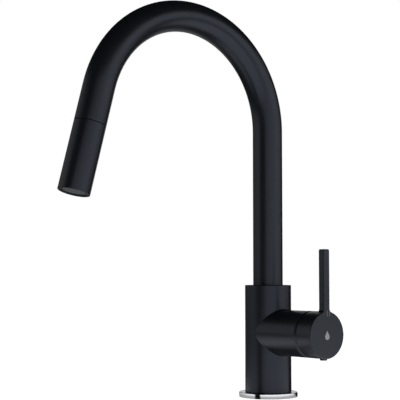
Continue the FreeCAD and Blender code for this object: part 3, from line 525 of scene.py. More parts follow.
def thread_tree():
    """The outside of a tube with a screw thread running its whole length."""
    tree, given = tree_of("Thread", [("Radius", "Float"), ("Length", "Float"), ("Pitch", "Float"),
                                     ("Depth", "Float"), ("Rows", "Int"), ("Sides", "Int"),
                                     ("Material", "Material")])
    tube = add(tree, "GeometryNodeMeshCylinder", {"Vertices": given["Sides"], "Side Segments": given["Rows"],
                                                  "Radius": given["Radius"], "Depth": given["Length"]},
               fill_type="NONE").outputs["Mesh"]
    split = add(tree, "ShaderNodeSeparateXYZ", {"Vector": add(tree, "GeometryNodeInputPosition").outputs[0]})
    angle = maths(tree, "ARCTAN2", split.outputs["Y"], split.outputs["X"])
    phase = maths(tree, "ADD", maths(tree, "DIVIDE", split.outputs["Z"], given["Pitch"]),
                  maths(tree, "DIVIDE", angle, math.tau))
    dip = maths(tree, "MULTIPLY", maths(tree, "PINGPONG", phase, 0.5), 2.0)
    shape = maths(tree, "SUBTRACT", maths(tree, "MULTIPLY", dip, 1.25), 0.15)
    shape = maths(tree, "MINIMUM", maths(tree, "SMOOTH_MAX", shape, 0.0, 0.1), 1.0)
    edge = maths(tree, "SUBTRACT", maths(tree, "MULTIPLY", given["Length"], 0.5),
                 maths(tree, "ABSOLUTE", split.outputs["Z"]))
    run_out = maths(tree, "DIVIDE", edge, given["Pitch"], clamp=True)
    flat = maths(tree, "SUBTRACT", 1.0, run_out)
    cut = maths(tree, "MULTIPLY", maths(tree, "MAXIMUM", shape, flat), given["Depth"])
    size = maths(tree, "SUBTRACT", 1.0, maths(tree, "DIVIDE", cut, given["Radius"]))
    place = add(tree, "ShaderNodeCombineXYZ", {"X": maths(tree, "MULTIPLY", split.outputs["X"], size),
                                               "Y": maths(tree, "MULTIPLY", split.outputs["Y"], size),
                                               "Z": split.outputs["Z"]}).outputs[0]
    threaded = add(tree, "GeometryNodeSetPosition", {"Geometry": tube, "Position": place}).outputs[0]
    close_tree(tree, threaded, given["Material"], True)
    return tree


# ---- sizes and colours a user would change ------------------------------

def length(name, description, default):
    """A length property in metres."""
    return FloatProperty(name=name, description=description, default=default, min=0.0, unit="LENGTH",
                         precision=5)


def colour(name, description, code):
    """A colour property from an sRGB hex value."""
    return FloatVectorProperty(name=name, description=description, default=linear(code), subtype="COLOR",
                               size=3, min=0.0, max=1.0)


class FaucetSizes(bpy.types.PropertyGroup):
    """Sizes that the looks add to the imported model."""
    body_edge: length("Body edge", "Rounding of the body's top rim", 0.9 * MM)
    seam_fillet: length("Seam fillet", "Blend where the side housing meets the barrel", 2.2 * MM)
    face_edge: length("Face edge", "Rounding of the lever's front edge", 1.1 * MM)
    back_edge: length("Back edge", "Rounding of the bar's rear edge", 0.7 * MM)
    ring_edge: length("Ring edge", "Rounding of the base ring's upper rim", 0.7 * MM)
    tube_wall: length("Tube wall", "Wall of the spout tube and the head", 1.5 * MM)
    cell_pitch: length("Cell pitch", "Distance between the outlet's cells", 1.5 * MM)
    thread_pitch: length("Thread pitch", "Pitch of the shank's thread", 2.0 * MM)
    braid_pitch: length("Braid pitch", "Length of one braid diamond", 3.2 * MM)
    sides: IntProperty(name="Sides", description="Sides of the round pieces", default=128, min=24, max=256)


class FaucetColours(bpy.types.PropertyGroup):
    """Colours of the finishes."""
    coat: colour("Coat", "Satin black coat", "#0F1114")
    chrome: colour("Chrome", "Polished ring", "#EDEFF2")
    brass: colour("Brass", "Turned brass", "#C9A15A")
    steel: colour("Steel", "Stainless hardware", "#C3C5C8")
    rubber: colour("Rubber", "Seals and washers", "#26282B")
    grey_plastic: colour("Grey plastic", "Cartridge case", "#8E9398")
    white_plastic: colour("White plastic", "Glide rings and sleeves", "#DADCDA")
    black_plastic: colour("Black plastic", "Collar, bush and plug", "#141517")
    outlet_plastic: colour("Outlet plastic", "Cells in the outlet", "#54575A")
    ceramic: colour("Ceramic", "Sliding discs", "#E8E4DC")
    braid_light: colour("Braid, light", "Crown of the hose's yarns", "#4A4D51")
    braid_dark: colour("Braid, dark", "Gaps between the yarns", "#101113")
    mark: colour("Drop", "Drop-shaped inlay", "#8A8D91")
    tick: colour("Ticks", "Index ticks", "#54575B")


def sizes():
    """The sizes of this scene."""
    return bpy.context.scene.faucet_sizes


def look(name):
    """A finish by name."""
    return bpy.data.materials[name]


# ---- steps --------------------------------------------------------------

class FAUCET_OT_finishes(bpy.types.Operator):
    """Makes every finish and gives the inner parts theirs"""
    bl_idname = "faucet.finishes"
    bl_label = "Finishes"

    def execute(self, context):
        tones = context.scene.faucet_colours
        satin_coat(tones.coat)
        polished_chrome(tones.chrome)
        for name, matrix in (("upright", UPRIGHT), ("lever", ON_LEVER), ("leg", ON_LEG)):
            turned_metal("turned_brass_" + name, tones.brass, 0.26, matrix, 0.35 * MM)
            turned_metal("stainless_" + name, tones.steel, 0.22, matrix, 0.25 * MM)
        moulded("epdm_rubber", tones.rubber, 0.62, 0.3 * MM, 0.01 * MM)
        moulded("grey_acetal", tones.grey_plastic, 0.42, 0.35 * MM, 0.006 * MM, IOR=1.48)
        moulded("white_acetal", tones.white_plastic, 0.38, 0.35 * MM, 0.005 * MM, IOR=1.48)
        moulded("black_acetal", tones.black_plastic, 0.4, 0.35 * MM, 0.006 * MM, IOR=1.48)
        moulded("outlet_polymer", tones.outlet_plastic, 0.45, 0.3 * MM, 0.005 * MM, IOR=1.49)
        moulded("lapped_alumina", tones.ceramic, 0.16, 0.12 * MM, 0.001 * MM, IOR=1.76)
        nylon_braid(tones.braid_light, tones.braid_dark, sizes().braid_pitch)
        laser_mark("pale_inlay", tones.mark)
        laser_mark("grey_inlay", tones.tick)
        finish_of = {
            "turned_brass_upright": ("threaded_shank", "clamp_nut", "outlet_pipe", "outlet_coupling",
                                     "spout_foot", "hose_tail_stem"),
            "turned_brass_lever": ("cartridge_nut",),
            "turned_brass_leg": ("hose_stem", "hose_nut"),
            "stainless_upright": ("clamp_washer_steel", "swivel_lock_screw", "hose_tail_ferrule"),
            "stainless_lever": ("pivot_pin", "lever_spindle", "handle_grub_screw"),
            "stainless_leg": ("hose_ferrule",),
            "epdm_rubber": ("base_gasket", "clamp_washer_rubber", "cartridge_seals", "inlet_washer",
                            "core_o_ring", "aerator_seal"),
            "grey_acetal": ("cartridge_base", "cartridge_housing", "disc_carrier", "lever_turret"),
            "white_acetal": ("foot_glide_rings", "spout_glide_washer", "spindle_sleeve", "check_valve",
                             "head_core"),
            "black_acetal": ("dock_bush", "head_collar", "aerator_housing"),
            "outlet_polymer": ("aerator_insert",),
            "lapped_alumina": ("fixed_ceramic_disc", "moving_ceramic_disc"),
            "satin_black_coat": ("dome_cover",),
        }
        for finish, nodes in finish_of.items():
            for node in nodes:
                frame["nodes"][node].material_slots[0].material = look(finish)
        return {"FINISHED"}


class FAUCET_OT_body(bpy.types.Operator):
    """Builds the valve body: upright barrel and side housing in one casting"""
    bl_idname = "faucet.body"
    bl_label = "Valve body"

    def execute(self, context):
        barrel_r, housing_r = reach("valve_body", 1)[1], reach("lever_handle", 1)[1]
        low, high = reach("valve_body", 2)
        fillet, edge, sides = sizes().seam_fillet, sizes().body_edge, sizes().sides
        casting = bmesh.new()

        def seam(phi, share):
            """A point of the blend between barrel and housing, 0 on the barrel to 1 on the housing."""
            across = housing_r * math.sin(phi)
            inner = math.sqrt(barrel_r ** 2 - across ** 2)
            corner = Vector((inner, across, PIVOT.z + housing_r * math.cos(phi)))
            on_barrel = corner + Vector((0, 0, fillet * math.cos(phi)))
            on_housing = corner + Vector((fillet * abs(math.cos(phi)), 0, 0))
            return on_barrel * (1 - share) ** 2 + corner * 2 * share * (1 - share) + on_housing * share ** 2

        turns = [math.tau * step / sides for step in range(sides)]
        loops = [[seam(phi, step / SEAM_STEPS) for phi in turns] for step in range(SEAM_STEPS + 1)]
        end, bore = reach("valve_body", 0)[1], reach("cartridge_nut", 1)[1]
        seat, shoulder = reach("cartridge_base", 0)[0], reach("cartridge_nut", 0)[0]
        case = reach("cartridge_base", 1)[1] + CASE_PLAY
        profile = rounded([(housing_r, seat, 0), (housing_r, end - CHAMFER_LENGTH, 0.6 * MM),
                           (housing_r - HOUSING_CHAMFER, end, 0.3 * MM), (bore, end, 0.2 * MM),
                           (bore, shoulder, 0), (case, shoulder, 0), (case, seat, 0), (0, seat, 0)])[1:]
        for radius, height in profile:
            loops.append([ON_LEVER @ Vector((-radius * math.cos(a), radius * math.sin(a), height))
                          for a in turns])
        loft(casting, loops)

        quarter = sides // 4
        front = [math.tau * step / sides for step in range(-quarter, quarter + 1)]
        widest = math.asin(housing_r / barrel_r)
        rear = [widest + (math.tau - 2 * widest) * step / sides for step in range(1, sides)]
        columns = [math.asin(housing_r * math.sin(phi) / barrel_r) for phi in front] + rear
        upper = [seam(phi, 0).z for phi in front] + [PIVOT.z] * len(rear)
        lower = [seam(math.pi - phi, 0).z for phi in front] + [PIVOT.z] * len(rear)
        foot_r, recess = reach("foot_glide_rings", 0)[1] + GLIDE_PLAY, reach("spout_glide_washer", 2)[0]
        foot_z, socket = reach("spout_foot", 2)[0] - FOOT_CLEAR, reach("threaded_shank", 2)[1]
        shank_r, mouth = reach("threaded_shank", 0)[1], TUBE_R + TUBE_PLAY
        top, bottom = high - edge, low + CASTING_EASE
        inside = rounded([(barrel_r, PIVOT.z, 0), (barrel_r, high, edge), (mouth, high, CASTING_EASE),
                          (mouth, recess, 0), (foot_r, recess, 0), (foot_r, foot_z, 0),
                          (HOSE_WAY_R, foot_z, 0), (HOSE_WAY_R, socket, 0), (shank_r, socket, 0),
                          (shank_r, low, 0),
                          (barrel_r, low, CASTING_EASE)])[1:]
        rims = [[(barrel_r, start + (top - start) * share) for start in upper] for share in (0, 0.3, 0.65)]
        rims += [[(radius, height)] * len(columns) for radius, height in inside]
        rims += [[(barrel_r, stop + (bottom - stop) * share) for stop in lower] for share in (0.65, 0.3, 0)]
        loft(casting, [[Vector((radius * math.cos(a), radius * math.sin(a), height))
                        for a, (radius, height) in zip(columns, rim)] for rim in rims])
        bm = bmesh.new()

        def drill(radius, start, stop, place):
            """Adds a plain round cutter along the place's Z axis."""
            lathe(bm, [(0, start), (radius, start), (radius, stop), (0, stop)], place, CUTTER_SIDES, False)

        # The lock screw's hole in the back, then the outlet and the two inlets in the floor above the shank.
        below, above = reach("swivel_lock_screw", 2)
        backwards = Matrix.Translation((0, 0, (below + above) / 2)) @ Matrix.Rotation(-math.pi / 2, 4, "X")
        drill((above - below) / 2, LOCK_HOLE_START, barrel_r + MM, backwards)
        near, far = reach("outlet_pipe", 0)
        for turn in PORT_TURNS:
            place = Matrix.Rotation(math.radians(turn), 4, "Z") @ Matrix.Translation(((near + far) / 2, 0, 0))
            drill((far - near) / 2, socket - MM, socket + PORT_DEPTH, place)
        cutter = piece("cutter", bm, look("satin_black_coat"))
        body = piece("valve_body_casting", casting, look("satin_black_coat"), extra=(
            ("BOOLEAN", {"object": cutter, "operation": "DIFFERENCE", "solver": "EXACT"}),))
        bpy.data.objects.remove(cutter)
        give(body, "faucet_body", "satin_black", "valve_body")
        return {"FINISHED"}


class FAUCET_OT_base(bpy.types.Operator):
    """Builds the polished ring and the threaded shank"""
    bl_idname = "faucet.base"
    bl_label = "Base ring and shank"

    def execute(self, context):
        outer, height = reach("base_ring", 0)[1], reach("base_ring", 2)[1]
        groove_out, groove_h = reach("base_gasket", 0)[1], reach("base_gasket", 2)[1]
        inner = reach("threaded_shank", 0)[1] + RING_PLAY
        bm = bmesh.new()
        lathe(bm, rounded([(inner, 0, 0), (GASKET_BORE_R, 0, 0), (GASKET_BORE_R, groove_h, 0),
                           (groove_out, groove_h, 0), (groove_out, 0, 0), (outer, 0, 0.25 * MM),
                           (outer, height, sizes().ring_edge), (inner, height, 0)]), steps=sizes().sides + 32)
        ring = piece("polished_base_ring", bm, look("polished_chrome"))
        give(ring, "faucet_body", "polished_ring", "base_ring")

        radius, (low, high) = reach("threaded_shank", 0)[1], reach("threaded_shank", 2)
        pitch = sizes().thread_pitch
        rows = round((high - low) / pitch * THREAD_ROWS)
        shank = grown("thread", thread_tree(), {
            "Radius": radius, "Length": high - low, "Pitch": pitch, "Depth": THREAD_DEPTH * pitch,
            "Rows": rows, "Sides": THREAD_SIDES, "Material": look("turned_brass_upright")})
        bm = bmesh.new()
        bm.from_mesh(shank.data)
        bmesh.ops.translate(bm, verts=bm.verts, vec=(0, 0, (low + high) / 2))
        bpy.data.objects.remove(shank)
        ends = []
        for level in (low, high):
            rim = [vert for vert in bm.verts if abs(vert.co.z - level) < WELD * 100]
            rim.sort(key=lambda vert: (math.atan2(vert.co.y, vert.co.x) + 0.01) % math.tau)
            ends.append(rim)
        rings = [ends[0]]
        for level, rim in zip((low, high), ends):
            inward = [Vector((vert.co.x, vert.co.y, 0)).normalized() * SHANK_BORE_R for vert in rim]
            rings.append([bm.verts.new(way + Vector((0, 0, level))) for way in inward])
        rings.append(ends[1])
        join(bm, rings)
        shank = piece("threaded_brass_shank", bm, look("turned_brass_upright"))
        give(shank, "faucet_body", "turned_brass", "threaded_shank")
        return {"FINISHED"}


class FAUCET_OT_spout(bpy.types.Operator):
    """Builds the bent spout tube and the hose inside it"""
    bl_idname = "faucet.spout"
    bl_label = "Spout and hose"

    def execute(self, context):
        tree = bent_tube_tree()
        wall, bottom = sizes().tube_wall, reach("spout_tube", 2)[0]
        end = leg_reach("dock_bush", TUBE_R - wall)[1]
        tube = grown("bent_spout_tube", tree, {
            "Bottom": bottom, "Riser": ARCH_Z - bottom, "Arch radius": ARCH_R, "Turn": ARCH_TURN, "Leg": end,
            "Tube radius": TUBE_R, "Steps": TUBE_STEPS, "Sides": TUBE_SIDES,
            "Material": look("satin_black_coat")})
        bm = bmesh.new()
        bm.from_mesh(tube.data)
        bpy.data.objects.remove(tube)
        tube = piece("bent_spout_tube", bm, look("satin_black_coat"), extra=(
            ("SOLIDIFY", {"thickness": wall, "offset": -1.0, "use_even_offset": True}),
            ("BEVEL", {"width": TUBE_RIM, "segments": 3, "limit_method": "ANGLE",
                       "angle_limit": math.radians(60)})))
        give(tube, "spout", "satin_black", "spout_tube")

        outer, tail = reach("spray_hose", 0)[1], reach("spray_hose", 2)[0]
        top = leg_reach("hose_ferrule", reach("hose_ferrule", 0)[1])[1]
        whole = grown("hose", tree, {
            "Bottom": tail, "Riser": ARCH_Z - tail, "Arch radius": ARCH_R, "Turn": ARCH_TURN, "Leg": top,
            "Tube radius": outer, "Steps": HOSE_STEPS, "Sides": HOSE_SIDES, "Material": look("nylon_braid")})
        # Cut at the arch's crown, out of sight: the half in the riser rides on the spout, the half in the leg
        # is left unattached.
        for name, side in (("braided_hose_in_riser", 1), ("braided_hose_in_leg", -1)):
            bm = bmesh.new()
            bm.from_mesh(whole.data)
            bmesh.ops.bisect_plane(bm, geom=[*bm.verts, *bm.edges, *bm.faces], plane_co=(0, -ARCH_R, 0),
                                   plane_no=(0, -side, 0), clear_outer=True)
            hose = piece(name, bm, look("nylon_braid"), extra=(
                ("SOLIDIFY", {"thickness": outer - HOSE_BORE_R, "offset": -1.0, "use_even_offset": True}),))
            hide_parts("spray_hose")
            if side > 0:
                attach(hose, "spout")
            else:
                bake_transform(hose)
        bpy.data.objects.remove(whole)
        return {"FINISHED"}


class FAUCET_OT_head(bpy.types.Operator):
    """Builds the spray head's shell and its outlet"""
    bl_idname = "faucet.head"
    bl_label = "Spray head"

    def execute(self, context):
        start, end = leg_reach("head_shell", TUBE_R)
        inner, collar = TUBE_R - sizes().tube_wall, reach("head_collar", 0)[1]
        roof = leg_reach("head_core", inner)[0]
        bm = bmesh.new()
        lathe(bm, rounded([(collar, start, 0), (TUBE_R, start, 0.3 * MM), (TUBE_R, end, 0.5 * MM),
                           (inner, end, 0.25 * MM), (inner, roof, 0), (collar, roof, 0)]), ON_LEG, HEAD_SIDES)
        shell = piece("spray_head_shell", bm, look("satin_black_coat"))
        give(shell, "spray_head", "satin_black", "head_shell")

        mesh_r = reach("aerator_mesh", 0)[1]
        top, face = leg_reach("aerator_mesh", mesh_r)
        cells = grown("outlet_cells", honeycomb_tree(), {
            "Radius": mesh_r - 0.45 * sizes().cell_pitch, "Pitch": sizes().cell_pitch, "Wall": CELL_WALL,
            "Height": face - top, "Count": CELL_ROWS, "Material": look("outlet_polymer")})
        cells.data.transform(ON_LEG @ Matrix.Translation((0, 0, (top + face) / 2)))
        give(cells, "spray_head", "aerator_plastic", "aerator_mesh")
        return {"FINISHED"}


class FAUCET_OT_lever(bpy.types.Operator):
    """Builds the lever with its round cap, its marks and the plug under it"""
    bl_idname = "faucet.lever"
    bl_label = "Lever"

    def execute(self, context):
        cap_r, (start, face) = reach("lever_handle", 1)[1], reach("lever_handle", 0)
        tip = reach("lever_handle", 2)[1] - PIVOT.z
        back, floor = face - BAR_THICK, reach("spindle_sleeve", 0)[0]
        middle = Vector((math.sqrt((cap_r + ROOT_R) ** 2 - (BAR_HALF + ROOT_R) ** 2), BAR_HALF + ROOT_R))
        lean = math.atan2(middle.y, middle.x)

        # The outline as (place, way out, 1 on the bar or 0 on the cap): cap, root fillet, half the bar.
        outline = []
        for step in range(CAP_STEPS + 1):
            turn = -lean - (math.tau - 2 * lean) * step / CAP_STEPS
            way = Vector((math.cos(turn), math.sin(turn)))
            outline.append((way * cap_r, way, 0.0))
        for step in range(1, ROOT_STEPS + 1):
            turn = lean + (math.pi / 2 - lean) * step / ROOT_STEPS
            way = Vector((math.cos(turn), math.sin(turn)))
            outline.append((middle - way * ROOT_R, way, 1.0))
        end = tip - BAR_CORNER
        for share in (0.25, 0.5, 0.75):
            outline.append((Vector((middle.x + (end - middle.x) * share, BAR_HALF)), Vector((0, 1)), 1.0))
        for step in range(ROUND_STEPS + 1):
            turn = math.pi / 2 * (1 - step / ROUND_STEPS)
            way = Vector((math.cos(turn), math.sin(turn)))
            outline.append((Vector((end, BAR_HALF - BAR_CORNER)) + way * BAR_CORNER, way, 1.0))
        half = outline[CAP_STEPS + 1:]
        outline += [(Vector((p.x, -p.y)), Vector((n.x, -n.y)), part) for p, n, part in reversed(half)]

        def front_row(level, inset):
            """The whole outline moved inwards, at one distance along the lever's axis."""
            spots = [place - way * inset for place, way, _ in outline]
            return [ON_LEVER @ Vector((-spot.x, spot.y, level)) for spot in spots]

        def rear_row(inset, rise):
            """The outline at the back, where only the bar's edge is moved inwards and forwards."""
            spots = [(place - way * inset * part, back + rise * part) for place, way, part in outline]
            return [ON_LEVER @ Vector((-spot.x, spot.y, level)) for spot, level in spots]

        edge, rear = sizes().face_edge, sizes().back_edge
        loops = []
        for step in range(FACE_STEPS + 1):
            a = math.pi / 2 * step / FACE_STEPS
            loops.append(front_row(face - edge * (1 - math.cos(a)), edge * (1 - math.sin(a))))
        for step in range(BACK_STEPS + 1):
            a = math.pi / 2 * step / BACK_STEPS
            loops.append(rear_row(rear * (1 - math.cos(a)), rear * (1 - math.sin(a))))
        bm = bmesh.new()
        rows = loft(bm, loops)
        bm.faces.new(rows[0])

        # The bar's flat back, closed along the cap's circle, then the cap's skirt, its inside and the socket.
        arc = [-lean + 2 * lean * step / GATE_STEPS for step in range(1, GATE_STEPS)]
        root_arc = [ON_LEVER @ Vector((-cap_r * math.cos(a), cap_r * math.sin(a), back)) for a in arc]
        behind = [vert.co.copy() for vert in rows[-1][CAP_STEPS:]] + [rows[-1][0].co.copy()] + root_arc
        bm.faces.new([bm.verts.new(point) for point in behind])
        turns = [-lean - (math.tau - 2 * lean) * step / CAP_STEPS for step in range(CAP_STEPS + 1)]
        turns += reversed(arc)
        lip = cap_r - CAP_WALL
        skirt = rounded([(cap_r, back, 0), (cap_r, start, 0.3 * MM), (lip, start, 0.2 * MM), (lip, floor, 0),
                         (0, floor, 0)])[:-1]
        rims = [([radius] * len(turns), level) for radius, level in skirt]
        square = [SOCKET_HALF / max(abs(math.cos(a)), abs(math.sin(a))) for a in turns]
        rims += [(square, floor), (square, SOCKET_END), ([0.0] * len(turns), SOCKET_END)]
        loft(bm, [[ON_LEVER @ Vector((-r * math.cos(a), r * math.sin(a), level)) for r, a in zip(rim, turns)]
                  for rim, level in rims])
        lever = piece("cast_lever", bm, look("satin_black_coat"))
        give(lever, "lever", "satin_black", "lever_handle")

        low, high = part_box("drop_mark")
        bm = bmesh.new()
        drop_r = (high.y - low.y) / 2
        up, centre = high.z - low.z - drop_r, low.z - PIVOT.z + drop_r
        shoulder = math.acos(drop_r / up)
        rim = [(centre + up, 0.0)]
        for step in range(DROP_STEPS + 1):
            turn = shoulder + (math.tau - 2 * shoulder) * step / DROP_STEPS
            rim.append((centre + drop_r * math.cos(turn), drop_r * math.sin(turn)))
        inlay(bm, rim, face)
        mark = piece("drop_inlay", bm, look("pale_inlay"))
        give(mark, "lever", "printed_mark", "drop_mark")

        low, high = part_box("index_ticks")
        bottom, top = low.z - PIVOT.z, high.z - PIVOT.z
        bm = bmesh.new()
        for near in (low.y, high.y - TICK_WIDTH):
            far = near + TICK_WIDTH
            corners = ((bottom, near), (bottom, far), (top, far), (top, near))
            inlay(bm, rounded([(*corner, TICK_CORNER) for corner in corners]), face)
        ticks = piece("index_inlays", bm, look("grey_inlay"))
        give(ticks, "lever", "printed_mark", "index_ticks")

        grub = sum(reach("handle_grub_screw", 0)) / 2
        foot = PIVOT.z - reach("screw_plug", 2)[0]
        stem_end, seat = cap_r - PLUG_STEM_DEPTH, cap_r - PLUG_SEAT
        profile = rounded([(PLUG_STEM_R, stem_end, 0.2 * MM), (PLUG_STEM_R, seat, 0), (PLUG_HEAD_R, seat, 0),
                           (PLUG_HEAD_R, foot, 0.5 * MM), (0, foot, 0)])
        downwards = ON_LEVER @ Matrix.Translation((0, 0, grub)) @ Matrix.Rotation(math.pi / 2, 4, "Y")
        bm = bmesh.new()
        lathe(bm, [(0, stem_end)] + profile, downwards, PLUG_SIDES, False)
        plug = piece("push_in_plug", bm, look("satin_black_coat"))
        give(plug, "lever", "satin_black", "screw_plug")
        return {"FINISHED"}


def inlay(bm, rim, face):
    """A thin flat inlay from (up, across) points, standing a hair proud of the lever's face."""
    edge = MARK_PROUD * 0.6
    middle = Vector((sum(p[0] for p in rim), sum(p[1] for p in rim))) / len(rim)
    loops = []
    for inset, level in ((0, face - MARK_DEPTH), (0, face + MARK_PROUD - edge), (edge, face + MARK_PROUD)):
        loop = []
        for up, across in rim:
            inward = (middle - Vector((up, across))).normalized() * inset
            loop.append(ON_LEVER @ Vector((-(up + inward.x), across + inward.y, level)))
        loops.append(loop)
    rows = loft(bm, loops)
    bm.faces.new(rows[0])
    bm.faces.new(rows[-1])


# Turn from the camera in degrees, brightness and width in metres of each panel.
PANELS = ((-116, 0.28, 1.15), (-82, 0.56, 1.15), (0, 0.72, 1.15), (34, 0.89, 1.15), (68, 1.0, 1.15),
          (100, 0.55, 1.15), (180, 0.5, 1.5))
PANEL_HEIGHT = 1.3
PANEL_DISTANCE = 1.8
PANEL_Z = 0.45
PANEL_AIM_Z = 0.3
VIEW_BACK = Vector((0.7808, -0.6248, 0)).normalized()      # level way from the faucet to the camera
CAMERA_DISTANCE = 1.1422
CAMERA_LEFT = 0.06804
CAMERA_Z = 0.1215
CAMERA_TILT = math.radians(3.72)
LENS, SENSOR = 102.4, 36.0

# The worktop, and the light and shade painted on it for reflections only: fades run from one distance to
# another.
FLOOR_R = 6.0
FLOOR_CODE = "#EDEEEF"
FLOOR_GLOW = 0.8
# Painted reflections: a bright pool in front, a bright patch behind and painted shade round the foot, seen
# only by glossy rays.
POOL_TURN, POOL_DISTANCE, POOL_FADE = math.radians(25), 0.5, (0.45, 0.85)
REAR_DISTANCE, REAR_FADE, REAR_SHARE = 0.8, (0.35, 0.6), 0.35
FOOT_FADE, FOOT_PAINTED_SHADE = (0.045, 0.07), 0.4
# Painted dark strips in the worktop's reflection, seen only by glossy rays.
PAINTED_DARK_STRIPS = ((-47, 8, 13), (166, 48, 62))     # turn of each dark strip, and the degrees where it fades out
STRIP_APEX = 0.0158                        # the strips run out from this far in front of the body's axis
ROOM_FILL, ROOM_MIRRORED = 0.2, 0.01       # the room for matt surfaces and for reflections


def faded(tree, value, start, stop, low, high):
    """A value eased from low at start to high at stop."""
    node = add(tree, "ShaderNodeMapRange", {"Value": value, "From Min": start, "From Max": stop,
                                            "To Min": low, "To Max": high}, interpolation_type="SMOOTHSTEP")
    return node.outputs[0]


def distance(tree, place, middle):
    """How far a place is from a fixed point."""
    return add(tree, "ShaderNodeVectorMath", {0: place, 1: middle}, operation="DISTANCE").outputs["Value"]


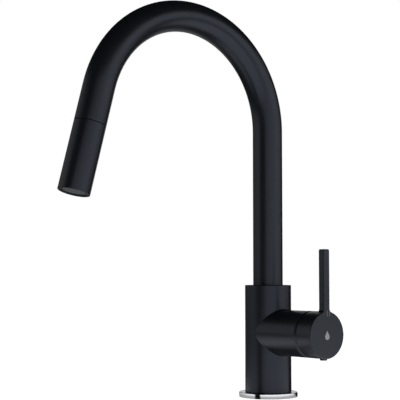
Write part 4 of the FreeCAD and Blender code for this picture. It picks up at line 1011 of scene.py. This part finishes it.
class FAUCET_OT_stage(bpy.types.Operator):
    """Sets the floor, the soft lights and the camera"""
    bl_idname = "faucet.stage"
    bl_label = "Stage"

    def execute(self, context):
        self.lay_floor(context.scene)
        self.set_camera(context.scene)
        self.hang_panels(context.scene)
        self.fill_room(context.scene)
        context.scene.view_settings.view_transform = "Standard"
        return {"FINISHED"}

    def lay_floor(self, scene):
        """A pale, evenly glowing worktop with painted reflections: glossy rays see it painted black outside
        painted bright patches.
        """
        material, tree, shader, place = surface("worktop_painted_reflections", 0.7)
        cloud = grain(tree, place, 60 * MM)
        white = linear(FLOOR_CODE)
        pale = tinted(tree, cloud, scaled(white, 0.99), scaled(white, 1.0))
        shader.inputs["Specular IOR Level"].default_value = 0.2
        shader.inputs["Emission Color"].default_value = (1, 1, 1, 1)
        # Painted reflections, for glossy rays only: a bright pool in front, painted shade round the foot, two
        # painted dark strips and a bright patch behind; elsewhere the worktop is painted black.
        pool = Matrix.Rotation(POOL_TURN, 3, "Z") @ VIEW_BACK * POOL_DISTANCE
        bright = faded(tree, distance(tree, place, pool), *POOL_FADE, 1.0, 0.0)
        apex = add(tree, "ShaderNodeVectorMath", {0: place, 1: VIEW_BACK * STRIP_APEX},
                   operation="SUBTRACT").outputs[0]
        for middle, start, stop in PAINTED_DARK_STRIPS:
            spin = -math.atan2(VIEW_BACK.y, VIEW_BACK.x) - math.radians(middle)
            spun = add(tree, "ShaderNodeMapping", {"Vector": apex, "Rotation": (0, 0, spin)}).outputs[0]
            split = add(tree, "ShaderNodeSeparateXYZ", {"Vector": spun})
            turn = maths(tree, "ABSOLUTE", maths(tree, "ARCTAN2", split.outputs["Y"], split.outputs["X"]))
            strip = add(tree, "ShaderNodeMapRange", {"Value": turn, "From Min": math.radians(start),
                                                     "From Max": math.radians(stop)}).outputs[0]
            bright = maths(tree, "MULTIPLY", bright, strip)
        # Painted shade round the foot, seen only in reflections.
        foot = faded(tree, distance(tree, place, (0, 0, 0)), *FOOT_FADE, FOOT_PAINTED_SHADE, 1.0)
        bright = maths(tree, "MULTIPLY", bright, foot)
        rear = faded(tree, distance(tree, place, VIEW_BACK * -REAR_DISTANCE), *REAR_FADE, REAR_SHARE, 0.0)
        bright = maths(tree, "MAXIMUM", bright, rear)
        path = add(tree, "ShaderNodeLightPath").outputs
        # Glossy rays see the painted reflection, painted black where it is masked out; other rays see the
        # worktop glow evenly.
        reflection_paint_mask = maths(tree, "MAXIMUM", bright, maths(tree, "SUBTRACT", 1.0, path["Is Glossy Ray"]))
        glow = maths(tree, "ADD", maths(tree, "MULTIPLY", path["Is Camera Ray"], 0.08), FLOOR_GLOW)
        tree.links.new(maths(tree, "MULTIPLY", reflection_paint_mask, glow), shader.inputs["Emission Strength"])
        kept = add(tree, "ShaderNodeMix", {0: reflection_paint_mask, 6: (0, 0, 0, 1), 7: pale}, data_type="RGBA").outputs[2]
        tree.links.new(kept, shader.inputs["Base Color"])

        bm = bmesh.new()
        bmesh.ops.create_circle(bm, cap_ends=True, segments=96, radius=FLOOR_R)
        mesh = bpy.data.meshes.new("worktop")
        bm.to_mesh(mesh)
        bm.free()
        mesh.materials.append(material)
        floor = bpy.data.objects.new("worktop", mesh)
        scene.collection.objects.link(floor)

    def set_camera(self, scene):
        """A long lens a little above the worktop, tilted slightly up."""
        right = Vector((-VIEW_BACK.y, VIEW_BACK.x, 0))
        forward = -VIEW_BACK * math.cos(CAMERA_TILT) + Vector((0, 0, math.sin(CAMERA_TILT)))
        turned = Matrix((right, right.cross(forward), -forward)).transposed().to_4x4()
        place = VIEW_BACK * CAMERA_DISTANCE - right * CAMERA_LEFT + Vector((0, 0, CAMERA_Z))
        camera = bpy.data.objects.new("camera", bpy.data.cameras.new("camera"))
        camera.data.lens, camera.data.sensor_width = LENS, SENSOR
        camera.data.clip_start = 10 * MM
        camera.matrix_world = Matrix.Translation(place) @ turned
        scene.collection.objects.link(camera)
        scene.camera = camera

    def hang_panels(self, scene):
        """White panels all round, with a dark gap to the camera's left."""
        for turn, glow, width in PANELS:
            light = bpy.data.lights.new("panel", "AREA")
            light.shape, light.size, light.size_y = "RECTANGLE", width, PANEL_HEIGHT
            light.energy = glow * math.pi * light.size * light.size_y
            holder = bpy.data.objects.new("panel", light)
            place = Matrix.Rotation(math.radians(turn), 3, "Z") @ VIEW_BACK * PANEL_DISTANCE
            place += Vector((0, 0, PANEL_Z))
            facing = (Vector((0, 0, PANEL_AIM_Z)) - place).to_track_quat("-Z", "Y")
            holder.matrix_world = Matrix.Translation(place) @ facing.to_matrix().to_4x4()
            holder.visible_camera = False
            scene.collection.objects.link(holder)

    def fill_room(self, scene):
        """White for the camera, a soft fill for matt surfaces and near black for reflections."""
        world = bpy.data.worlds.new("studio")
        scene.world = world
        world.use_nodes = True
        tree = world.node_tree
        tree.nodes.clear()
        path = add(tree, "ShaderNodeLightPath").outputs
        seen = maths(tree, "MULTIPLY", path["Is Camera Ray"], 1.0 - ROOM_FILL)
        mirrored = maths(tree, "MULTIPLY", path["Is Glossy Ray"], ROOM_FILL - ROOM_MIRRORED)
        strength = maths(tree, "SUBTRACT", maths(tree, "ADD", seen, ROOM_FILL), mirrored)
        light = add(tree, "ShaderNodeBackground", {"Color": (1, 1, 1, 1), "Strength": strength})
        add(tree, "ShaderNodeOutputWorld", {"Surface": light.outputs[0]})


STEPS = (FAUCET_OT_finishes, FAUCET_OT_body, FAUCET_OT_base, FAUCET_OT_spout, FAUCET_OT_head, FAUCET_OT_lever,
         FAUCET_OT_stage)


class FAUCET_PT_panel(bpy.types.Panel):
    """Sizes, colours and steps of the faucet"""
    bl_idname = "FAUCET_PT_panel"
    bl_label = "Faucet"
    bl_space_type = "VIEW_3D"
    bl_region_type = "UI"
    bl_category = "Faucet"

    def draw(self, context):
        for group in (context.scene.faucet_sizes, context.scene.faucet_colours):
            column = self.layout.column(align=True)
            for name in group.__annotations__:
                column.prop(group, name)
        for step in STEPS:
            self.layout.operator(step.bl_idname)


CLASSES = (FaucetSizes, FaucetColours, *STEPS, FAUCET_PT_panel)


def register():
    """Registers the classes and their settings on the scene."""
    for item in CLASSES:
        bpy.utils.register_class(item)
    bpy.types.Scene.faucet_sizes = PointerProperty(type=FaucetSizes)
    bpy.types.Scene.faucet_colours = PointerProperty(type=FaucetColours)


def unregister():
    """Takes the settings and the classes away again."""
    del bpy.types.Scene.faucet_colours
    del bpy.types.Scene.faucet_sizes
    for item in reversed(CLASSES):
        bpy.utils.unregister_class(item)


def main():
    """Registers the steps and builds the faucet."""
    register()
    for name in ("finishes", "body", "base", "spout", "head", "lever", "stage"):
        getattr(bpy.ops.faucet, name)()


if __name__ == "__main__":
    main()
